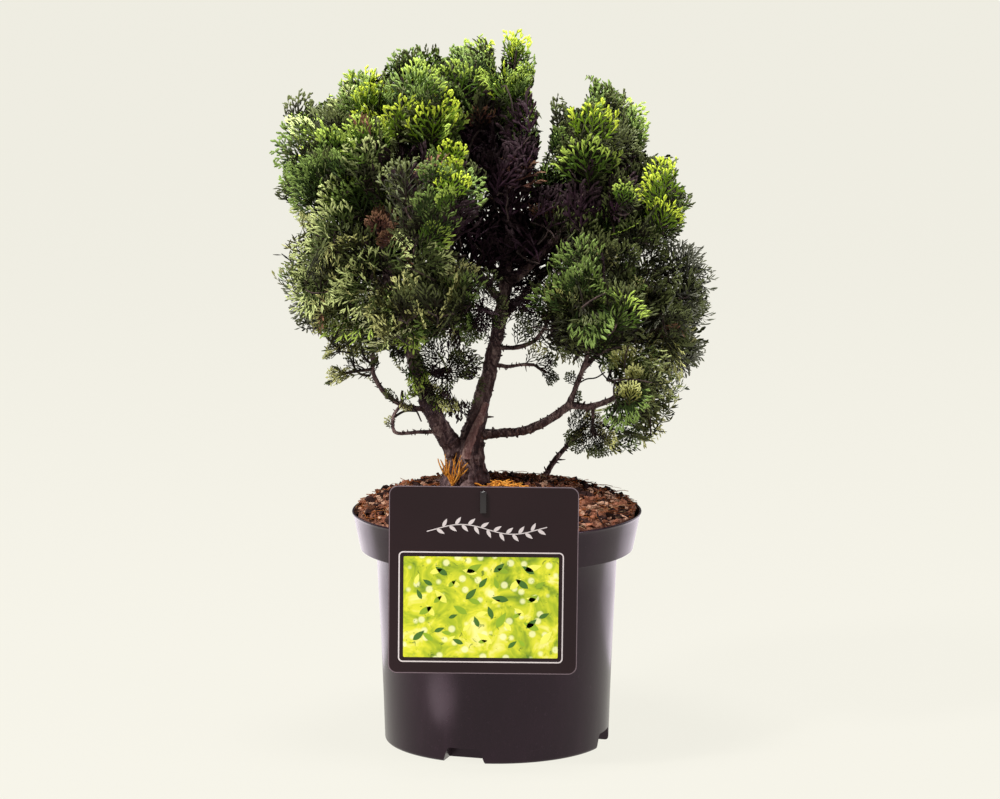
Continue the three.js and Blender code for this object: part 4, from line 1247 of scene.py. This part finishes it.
def chips(count, lengths, thick):
    """Bark chips: irregular flat flakes, half sunk."""
    parts = []
    for x, y in zip(*scatter(count)):
        half = r.uniform(*lengths) / 2
        p = BOX * v(half, half * r.uniform(0.3, 0.75), r.uniform(*thick) / 2) * r.uniform(0.55, 1.1, (8, 3))
        p[4:, :2] *= r.uniform(0.6, 0.95)
        a, b, c = r.uniform(0, ANY_WAY), r.normal(0, 0.55), r.normal(0, 0.5)
        (ca, cb, cc), (sa, sb, sc) = map(math.cos, (a, b, c)), map(math.sin, (a, b, c))
        about_z = np.array([[ca, -sa, 0], [sa, ca, 0], [0, 0, 1]])
        about_y = np.array([[cb, 0, sb], [0, 1, 0], [-sb, 0, cb]])
        about_x = np.array([[1, 0, 0], [0, cc, -sc], [0, sc, cc]])
        p = p @ (about_z @ about_y @ about_x).T
        if math.hypot(x, y) + half > CHIPS_EDGE:  # near the rim the chips are kept inside the pot's wall
            inward = max(0.0, (CHIPS_EDGE - half)) / max(math.hypot(x, y), 1)
            x, y = x * inward, y * inward
        height = float(soil_level(x, y)) + float(heaps(x, y)) + r.uniform(-0.6, 1.4)
        parts.append((p + v(x, y, height), BOX_FACES))
    return joined(parts)


def fibres(count, lengths, thick):
    """Thin bent fibres that lie on the soil."""
    parts = []
    t = np.linspace(0, 1, 6)[:, None]
    for x, y in zip(*scatter(count)):
        length, a = r.uniform(*lengths), r.uniform(0, ANY_WAY)
        d = v(math.cos(a), math.sin(a), r.uniform(-0.05, 0.25))
        bend = v(-d[1], d[0], 0) * r.normal(0, 0.35) * length
        foot = v(x, y, float(soil_level(x, y)) + r.uniform(0.2, 2.0))
        arch = v(0, 0, 1) * (r.uniform(0, 0.16) * length * 4 * t * (1 - t))
        p = foot + d * length * (t - 0.5) + bend * (t * (1 - t)) * 2 + arch
        p[:, :2] *= np.minimum(1, FIBRES_EDGE / np.maximum(np.hypot(p[:, 0], p[:, 1]), 1))[:, None]
        parts.append(tube(p, np.linspace(1, 0.6, 6) * r.uniform(*thick) / 2, 3))
    return joined(parts)


# what lies on the soil: how it is made, its grain, whether it is smooth, and its kinds, each with how many,
# lengths, thicknesses and colours
LITTER = {
    "chips": (chips, 420, False, [
        ("dark", 420, (4, 13), (1.4, 3.6), [(0.3, 26, 14, 16), (0.55, 64, 40, 36), (0.8, 96, 66, 56)]),
        ("red", 700, (3, 11), (1.0, 3.0), [(0.3, 96, 52, 38), (0.55, 170, 112, 86), (0.8, 214, 162, 132)]),
        ("pale", 420, (2.5, 9), (0.8, 2.4),
         [(0.3, 160, 116, 94), (0.55, 212, 170, 144), (0.8, 240, 212, 190)]),
    ]),
    "fibre": (fibres, 300, True, [
        ("orange", 520, (7, 24), (0.35, 0.8), [(0.3, 120, 62, 26), (0.6, 176, 104, 52), (0.8, 206, 146, 86)]),
        ("dark", 260, (6, 20), (0.35, 0.9), [(0.3, 44, 26, 20), (0.6, 84, 54, 40), (0.8, 120, 84, 62)]),
        ("pale", 110, (6, 22), (0.3, 0.6), [(0.3, 150, 118, 84), (0.6, 196, 164, 124), (0.8, 226, 204, 170)]),
    ]),
}
for litter, (made_of, grain, smooth, kinds) in LITTER.items():
    for kind, count, lengths, thick, rows in kinds:
        name = f"{litter}_{kind}"
        mesh_piece(name, *made_of(count, lengths, thick), soil_material(name, rows, grain), *SOIL, smooth)

# dry orange sprays: strands that fan out from a foot by the stump and in a loose heap beside it
STRAW_FANS = [  # foot, spread of the headings in degrees, lean to the right, strands, lengths
    ((-29, -15.5, 172), 32, 2, 9, (11, 21)),
    ((-33, -14, 178), 24, -8, 4, (9, 14)),
    ((-25, -16, 178), 40, 16, 5, (7, 12)),
]
HEAP = v(4, -20, 0)  # the middle of the loose heap
strands = []
q = np.linspace(0, 1, 6)[:, None]
for foot, spread, lean, count, lengths in STRAW_FANS:
    for k in range(count):
        a = math.radians(lean + spread * (2 * (k + r.uniform(0.2, 0.8)) / count - 1))
        d = v(math.sin(a), r.uniform(-0.1, 0.3), math.cos(a)) * r.uniform(*lengths)
        bend = v(r.normal(0, 1.2), -r.uniform(0, 1.5), 0)
        strands.append((v(*foot) + d * q + bend * (4 * q * (1 - q)), r.uniform(0.5, 0.75)))
q = np.linspace(0, 1, 5)[:, None]
for k in range(110):
    at = HEAP + v(r.normal(0, 8), r.normal(0, 4.5), 0)
    height = 4.5 * math.exp(-(((at[0] - HEAP[0]) / 9) ** 2))
    at[2] = float(soil_level(at[0], at[1])) + 1.5 + height * r.uniform(0.3, 1)
    a, rise = r.uniform(0, ANY_WAY), r.uniform(-0.1, 0.5)
    d = v(math.cos(a), 0.5 * math.sin(a), rise) * r.uniform(6, 12)
    strands.append((at + d * (q - 0.3) + v(0, 0, r.uniform(0, 2)) * (4 * q * (1 - q)), r.uniform(0.45, 0.8)))
straw = soil_material("straw", [(0.3, 168, 96, 30), (0.55, 222, 156, 62), (0.75, 242, 200, 112)], 220)
straw_parts = joined([tube(p, np.linspace(1, 0.5, len(p)) * width, 5) for p, width in strands])
mesh_piece("straw", *straw_parts, straw, *SOIL, smooth=True)

# ---------------- the pot


def arc(cx, cz, radius, a0, a1, steps):
    """Points on an arc from angle a0 to a1, in degrees."""
    angles = [math.radians(a) for a in np.linspace(a0, a1, steps)]
    return [(cx + radius * math.cos(a), cz + radius * math.sin(a)) for a in angles]


def lathe_solid(profile, sides):
    """A closed solid turned from (radius, height) pairs that start and end on the axis."""
    a = np.linspace(0, 2 * np.pi, sides, endpoint=False)
    mid = np.array(profile[1:-1], float)
    rows = [mid[:, 0, None] * np.cos(a), mid[:, 0, None] * np.sin(a), np.repeat(mid[:, 1, None], sides, 1)]
    verts = np.vstack([np.stack(rows, -1).reshape(-1, 3), [[0, 0, profile[0][1]], [0, 0, profile[-1][1]]]])
    low, high, last = len(mid) * sides, len(mid) * sides + 1, (len(mid) - 1) * sides
    under = [[low, (j + 1) % sides, j] for j in range(sides)]
    inner = [[high, last + j, last + (j + 1) % sides] for j in range(sides)]
    return verts, [tube_faces(len(mid), sides), under, inner]


def boolean(obj, tool, operation):
    m = obj.modifiers.new("cut", "BOOLEAN")
    m.operation, m.object, m.solver = operation, tool, "EXACT"
    evaluated = obj.evaluated_get(bpy.context.evaluated_depsgraph_get())
    old, obj.data = obj.data, bpy.data.meshes.new_from_object(evaluated)
    obj.modifiers.clear()
    bpy.data.meshes.remove(old)
    bpy.data.objects.remove(tool)


def notch_tools(name, outline, x0, x1):
    """Four prisms of a (y, z) outline from radius x0 to x1, a quarter turn apart."""
    verts, faces, n = [], [], len(outline)
    ring = [[i, (i + 1) % n, n + (i + 1) % n, n + i] for i in range(n)]
    for i in range(4):
        angle, first = math.radians(NOTCH_DEG - 90 + 90 * i), len(verts)
        c, s = math.cos(angle), math.sin(angle)
        verts += [(c * x - s * y, s * x + c * y, z) for x in (x0, x1) for y, z in outline]
        faces += [[first + q for q in face] for face in [list(range(n))[::-1], list(range(n, 2 * n)), *ring]]
    return plain_mesh(name, verts, [faces])


band_foot = POT_H - POT_BAND_H
shell = 1.2
profile = (
    [(0, 0), (POT_BASE_R - 2.6, 0)]
    + arc(POT_BASE_R - 2.2, 2.2, 2.2, -90, 0, 6)
    + [(POT_BASE_R + 0.9, 32), (POT_BASE_R + 2.4, 70), (POT_BODY_R - 0.9, 105), (POT_BODY_R, band_foot - 1.6)]
    + [(POT_BODY_R + 0.4, band_foot - 1.0), (POT_BAND_R - 1.0, band_foot - 0.1)]
    + arc(POT_BAND_R - 0.6, band_foot + 0.5, 0.6, -90, 10, 4)
    + [(POT_BAND_R + 1.6, band_foot + 8), (POT_BAND_R + 3.2, band_foot + 16), (POT_RIM_R - 0.9, POT_H - 2.6)]
    + arc(POT_RIM_R - 0.75, POT_H - 0.75, 0.75, -60, 180, 9)
    + [(POT_RIM_R - shell - 0.9, POT_H - 3), (POT_BAND_R - shell, band_foot + shell)]
    + [(POT_BODY_R - shell, band_foot - 1 + shell), (POT_BASE_R - shell, POT_FLOOR), (0, POT_FLOOR)]
)
pot = plain_mesh("nursery_pot", *lathe_solid(profile, 240))
half, top, over = NOTCH_BOTTOM / 2, NOTCH_TOP / 2, 2.2  # over: how far a notch's housing goes past it
housing = [(-half - over, 1), (half + over, 1), (half + over, NOTCH_H + over), (-half - over, NOTCH_H + over)]
boolean(pot, notch_tools("housing", housing, NOTCH_TO - over, 72), "UNION")
right = [(half + 0.4, -1), (top + 0.5, NOTCH_H - 1.6), (top - 0.4, NOTCH_H - 0.4), (top - 1.6, NOTCH_H)]
left = [(-y, z) for y, z in right[::-1]]
boolean(pot, notch_tools("notches", left[-1:] + right + left[:-1], NOTCH_TO, 86), "DIFFERENCE")

n = Nodes("pot_plastic")
scuff, dust = n.noise(70, 5, 0.7, 0.3, (1, 1, 0.35)), n.noise(420, 3, 0.7)
waves = n.noise(9, 2, 0.5, 0.0, (1, 1, 0.25))
# painted shade: the purple tint of the plastic's near-black colours stands for the purple cast of its shade
base = n.mix(n.mask(scuff, 0.42, 0.0, 0.75, 0.5), srgb(24, 11, 19), srgb(40, 22, 34))
n.colour(n.mix(n.mask(dust, 0.62, 0.0, 0.82, 0.35), base, srgb(84, 64, 80)))
n.rough(scuff, 0.2, 0.3)
n.set(Specular_IOR_Level=0.36, Specular_Tint=(1, 0.8, 0.96, 1))
n.bump(n.math("ADD", n.math("MULTIPLY", waves, 3.0), n.math("MULTIPLY", dust, 0.02)), 0.9, 0.35)
pot.data.materials.clear()
for p in pot.data.polygons:
    p.use_smooth = True
pot.data.set_sharp_from_angle(angle=math.radians(32))
settle(pot, n.mat, "pot_plastic", ["pot"])

# ---------------- the card and its hook


CARD = ("label_card", ["label_card"])
ROLL = math.radians(-CARD_ROLL)
CARD_BACK = -(POT_RIM_R + GAP)
CARD_FRONT = CARD_BACK - CARD_T
BEVEL = 0.35  # of the card's edges


def rounded_rect(w, h, radius):
    """The outline of a rectangle with half sizes w and h."""
    w, h = w - radius, h - radius
    corners = ((w, h, 0), (-w, h, 90), (-w, -h, 180), (w, -h, 270))
    return np.array([p for cx, cz, a in corners for p in arc(cx, cz, radius, a, a + 90, 8)])


def on_card(points, y):
    """Card-plane (x, z) points, turned and moved to the card, at depth y."""
    x, z = np.asarray(points).T
    c, s = math.cos(ROLL), math.sin(ROLL)
    return np.stack([CARD_X + c * x - s * z, np.full(len(x), float(y)), CARD_Z + s * x + c * z], 1)


def plate(name, rings, material):
    """A closed plate from matching outlines and their depths, front first."""
    n = len(rings[0][0])
    count = len(rings) * n
    verts = np.vstack([on_card(p, y) for p, y in rings])
    ends = [list(range(n)), list(range(count - n, count))[::-1]]
    settle(plain_mesh(name, verts, [tube_faces(len(rings), n), ends]), material, *CARD)


def gloss_card(name, colour, rough=0.35, gloss=0.5):
    n = Nodes(name)
    fine, wave = n.noise(1400, 2, 0.5), n.noise(18, 2, 0.5)
    n.colour(n.mix(n.mask(wave, 0.35, 0.0, 0.7, 0.6), colour, shaded(colour, 1.35)))
    n.rough(fine, rough, rough + 0.12)
    n.set(Specular_IOR_Level=gloss)
    n.bump(wave, 0.8, 0.3)
    return n.mat


def frame_line(name, w, h, radius, cx, cz, width, proud, material):
    """A thin raised line round a rounded rectangle on the card."""
    outer = rounded_rect(w, h, radius) + v(cx, cz)
    inner = rounded_rect(w - width, h - width, max(radius - width, 0.3)) + v(cx, cz)
    n = len(outer)
    verts = np.vstack([on_card(p, CARD_FRONT + y) for y in (-proud, 0.1) for p in (outer, inner)])
    j = np.arange(n)
    k = (j + 1) % n
    sides = ((j, k, n + k, n + j), (j, 2 * n + j, 2 * n + k, k), (n + j, n + k, 3 * n + k, 3 * n + j))
    mesh_piece(name, verts, np.vstack([np.stack(side, 1) for side in sides]), material, *CARD)


W, H = CARD_W / 2, CARD_H / 2
full, bevelled = rounded_rect(W, H, CARD_CORNER), rounded_rect(W - BEVEL, H - BEVEL, CARD_CORNER - BEVEL)
rings = [(bevelled, CARD_FRONT), (full, CARD_FRONT + 0.3), (full, CARD_BACK - 0.3), (bevelled, CARD_BACK)]
# painted shade: the purple tint of the card's black stands for the purple cast of its shade
plate("label_card", rings, gloss_card("card_black", srgb(32, 16, 21), gloss=0.25))
pale = gloss_card("pale_print", srgb(206, 196, 198))
edge = gloss_card("card_edge", srgb(112, 96, 104))
frame_line("card_edge_line", W - 0.1, H - 0.1, CARD_CORNER, 0, 0, 0.5, 0.05, edge)
PX, PZ, PW, PH = -1.4, -17.4, 52.3, 35.8  # the middle and half size of the picture's place
frame_line("card_frame_line", PW, PH, 3.0, PX, PZ, 0.8, 0.08, pale)

# the picture panel: a soft yellow-green print of round lights, with plain leaf shapes laid over it
n = Nodes("panel_print")
lights = preset(n.add("ShaderNodeTexVoronoi"), Scale=130)
n.link(n.place, lights.inputs["Vector"])
soft, blot = n.noise(70, 3, 0.6, 0.6), n.noise(230, 3, 0.6, 1.2)
greens = stops((0.3, 92, 128, 24), (0.45, 172, 190, 30), (0.58, 226, 226, 48), (0.72, 252, 246, 150))
base = n.ramp(soft, greens)
lit = n.mix(n.mask(lights.outputs["Distance"], 0.22, 0.75, 0.34, 0.0), base, srgb(250, 250, 190))
n.colour(n.mix(n.mask(blot, 0.62, 0.0, 0.72, 0.85), lit, srgb(70, 110, 24)))
n.set(Roughness=0.3, Specular_IOR_Level=0.4)
n.bump(soft, 0.2, 0.1)
panel = rounded_rect(PW - 3.2, PH - 3.2, 0.8) + v(PX, PZ)
plate("card_panel", [(panel, CARD_FRONT - 0.06), (panel, CARD_FRONT + 0.1)], n.mat)


def leaf_shape(cx, cz, length, width, angle):
    """The outline of a pointed leaf."""
    t = np.linspace(0, 1, 7)
    w = width * np.sin(np.pi * t**0.8)
    up = np.stack([t * length, w], 1)
    p = np.vstack([up, np.stack([t[::-1] * length, -w[::-1]], 1)[1:-1]])
    c, s = math.cos(angle), math.sin(angle)
    return np.stack([cx + c * p[:, 0] - s * p[:, 1], cz + s * p[:, 0] + c * p[:, 1]], 1)


def flat_shapes(name, shapes, proud, material):
    """Flat closed shapes printed just proud of the card."""
    verts, faces, n = [], [], 0
    for p in shapes:
        k = len(p)
        verts.append(np.vstack([on_card(p, CARD_FRONT - proud), on_card(p, CARD_FRONT + 0.05)]))
        faces.append(list(range(n, n + k)))
        faces += [[n + i, n + k + i, n + k + (i + 1) % k, n + (i + 1) % k] for i in range(k)]
        n += 2 * k
    settle(plain_mesh(name, np.vstack(verts), [faces], outward=False), material, *CARD)


r = default_rng(21)
PANEL_LEAVES = {"dark": (60, 104, 24), "mid": (136, 168, 26), "light": (236, 236, 96)}
shapes = [[], [], []]
for i, x in enumerate(np.linspace(-40, 38, 9)):
    for j, z in enumerate(np.linspace(-24, 22, 6)):
        a = math.radians(35 + 110 * ((i + j) % 2)) + r.normal(0, 0.3)
        length = r.uniform(6, 12)
        cx, cz = PX + x + r.normal(0, 1.6), PZ + z + r.normal(0, 1.4)
        ex, ez = cx + length * math.cos(a) - PX, cz + length * math.sin(a) - PZ
        if abs(ex) > PW - 4.5 or abs(ez) > PH - 4.5 or abs(cx - PX) > PW - 5 or abs(cz - PZ) > PH - 5:
            continue
        shapes[(i + 2 * j) % 3].append(leaf_shape(cx, cz, length, length * 0.2, a))
for (kind, colour), leaves in zip(PANEL_LEAVES.items(), shapes):
    name = "panel_leaf_" + kind
    flat_shapes(name, leaves, 0.1, gloss_card(name, srgb(*colour)))


def sprig_phase(x):
    return (x + 30) / 64 * math.pi * 2


# a pale sprig across the top of the card
sprig = []
for i, x in enumerate(np.linspace(-30, 34, 17)):
    a = math.radians(48 if i % 2 else -48) + 0.3 * math.cos(sprig_phase(x))
    sprig.append(leaf_shape(x, 33 + 3.0 * math.sin(sprig_phase(x)), 6.2, 1.15, a))
curve = [(x, 33 + 3.0 * math.sin(sprig_phase(x))) for x in np.linspace(-36, 40, 40)]
sprig.append(np.array([(x, z + 0.3) for x, z in curve] + [(x, z - 0.3) for x, z in curve[::-1]]))
flat_shapes("card_sprig", sprig, 0.07, pale)

# the hook's parts: half width, depths, heights from the card's slot, and bevel
HOOK = {
    "hook_cleat": (2.0, (CARD_FRONT - GAP - 1.2, CARD_FRONT - GAP), (-7, 7), 0.55),
    "hook_neck": (1.9, (CARD_FRONT - 0.9, CARD_BACK + 9.5), (-1.2, 1.2), 0.3),
    "hook_stake": (1.95, (CARD_BACK + 8.3, CARD_BACK + 10.7), (-34, 1.2), 0.4),
}
SLOT_Z = CARD_Z + CARD_H / 2 - 10
hook_black = gloss_card("hook_black", srgb(24, 18, 22), 0.25, 0.6)
for name, (half, (y0, y1), (z0, z1), bevel) in HOOK.items():
    middle, size = (CARD_X, (y0 + y1) / 2, SLOT_Z + (z0 + z1) / 2), (2 * half, y1 - y0, z1 - z0)
    bm = bmesh.new()
    bmesh.ops.create_cube(bm, size=1)
    for q in bm.verts:
        q.co = Vector([m + s * c for m, s, c in zip(middle, size, q.co)]) * MM
    bmesh.ops.bevel(bm, geom=bm.edges[:], offset=bevel * MM, segments=3, affect="EDGES", profile=0.6)
    mesh = bpy.data.meshes.new(name)
    bm.to_mesh(mesh)
    bm.free()
    for p in mesh.polygons:
        p.use_smooth = True
    settle(in_scene(name, mesh), hook_black, "label_hook", ["label_hook"])

# ---------------- stage, lights and camera


PAPER = (0.871, 0.855, 0.768, 1)
corners = [(-30000, -30000, 0), (30000, -30000, 0), (30000, 30000, 0), (-30000, 30000, 0)]
floor = plain_mesh("floor", corners, [[[0, 1, 2, 3]]], outward=False)
n = Nodes("floor_paper")
n.colour(n.ramp(n.noise(900, 3, 0.6), [(0.3, (0.022, 0.021, 0.02)), (0.7, (0.026, 0.025, 0.024))]))
n.set(Roughness=0.9, Specular_IOR_Level=0.0, Emission_Color=PAPER, Emission_Strength=0.985)
floor.data.materials.append(n.mat)

scene = bpy.context.scene
scene.world = bpy.data.worlds.new("studio")
scene.world.use_nodes = True
tree = scene.world.node_tree
tree.nodes.clear()
path, dim, seen, pick, out = (tree.nodes.new("ShaderNode" + kind) for kind in (
    "LightPath", "Background", "Background", "MixShader", "OutputWorld"))
preset(dim, Color=(0.97, 0.95, 0.92, 1), Strength=0.11)
preset(seen, Color=PAPER, Strength=1.0)
for a, b in ((path.outputs["Is Camera Ray"], pick.inputs[0]), (dim.outputs[0], pick.inputs[1]),
             (seen.outputs[0], pick.inputs[2]), (pick.outputs[0], out.inputs[0])):
    tree.links.new(a, b)

LIGHTS = [  # name, place, what it points at, size, power, colour; none is seen by the camera
    ("key_left", (-1.15, -0.75, 1.75), (0, 0, 0.33), (0.25, 0.35), 66, (1, 0.985, 0.94)),
    ("top", (-0.1, -0.05, 2.0), (0, 0, 0.33), (0.35, 0.35), 60, (1, 1, 0.96)),
    ("right_strip", (1.5, -0.6, 0.9), (0, 0, 0.2), (0.35, 1.4), 14, (1, 0.95, 0.98)),
    ("back_right", (1.3, 1.7, 0.6), (0, 0, 0.2), (0.7, 1.8), 8, (0.95, 0.86, 1)),
    ("back_left", (-1.3, 1.7, 0.6), (0, 0, 0.2), (0.7, 1.8), 6, (0.97, 0.9, 1)),
    # low on the floor, where the glossy pot mirrors them along its two edges and in one streak
    ("edge_right", (0.3, 0.42, 0.004), (0.3, 0.42, 1), (0.34, 0.5), 0.6, (0.93, 0.8, 1)),
    ("edge_left", (-0.3, 0.42, 0.004), (-0.3, 0.42, 1), (0.34, 0.5), 0.8, (0.95, 0.84, 1)),
    ("streak", (-0.15, -0.132, 0.003), (-0.15, -0.132, 1), (0.1, 0.07), 0.07, (1, 0.93, 0.9)),
]
for name, place, target, size, power, colour in LIGHTS:
    light = bpy.data.lights.new(name, "AREA")
    light.shape, light.size, light.size_y = "RECTANGLE", *size
    light.energy, light.color = power, colour
    obj = in_scene(name, light)
    obj.location = place
    obj.rotation_euler = (Vector(target) - Vector(place)).to_track_quat("-Z", "Y").to_euler()
    obj.visible_camera = False

lens = bpy.data.cameras.new("camera")
lens.sensor_fit, lens.sensor_width, lens.lens = "HORIZONTAL", 36.0, 139.4
lens.clip_start, lens.clip_end = 0.05, 100
camera = in_scene("camera", lens)
camera.location = (0.0021, -2.5, 0.6208)
camera.rotation_euler = (math.pi / 2 - 0.1565, 0, 0)
scene.camera = camera
scene.view_settings.view_transform = "Standard"
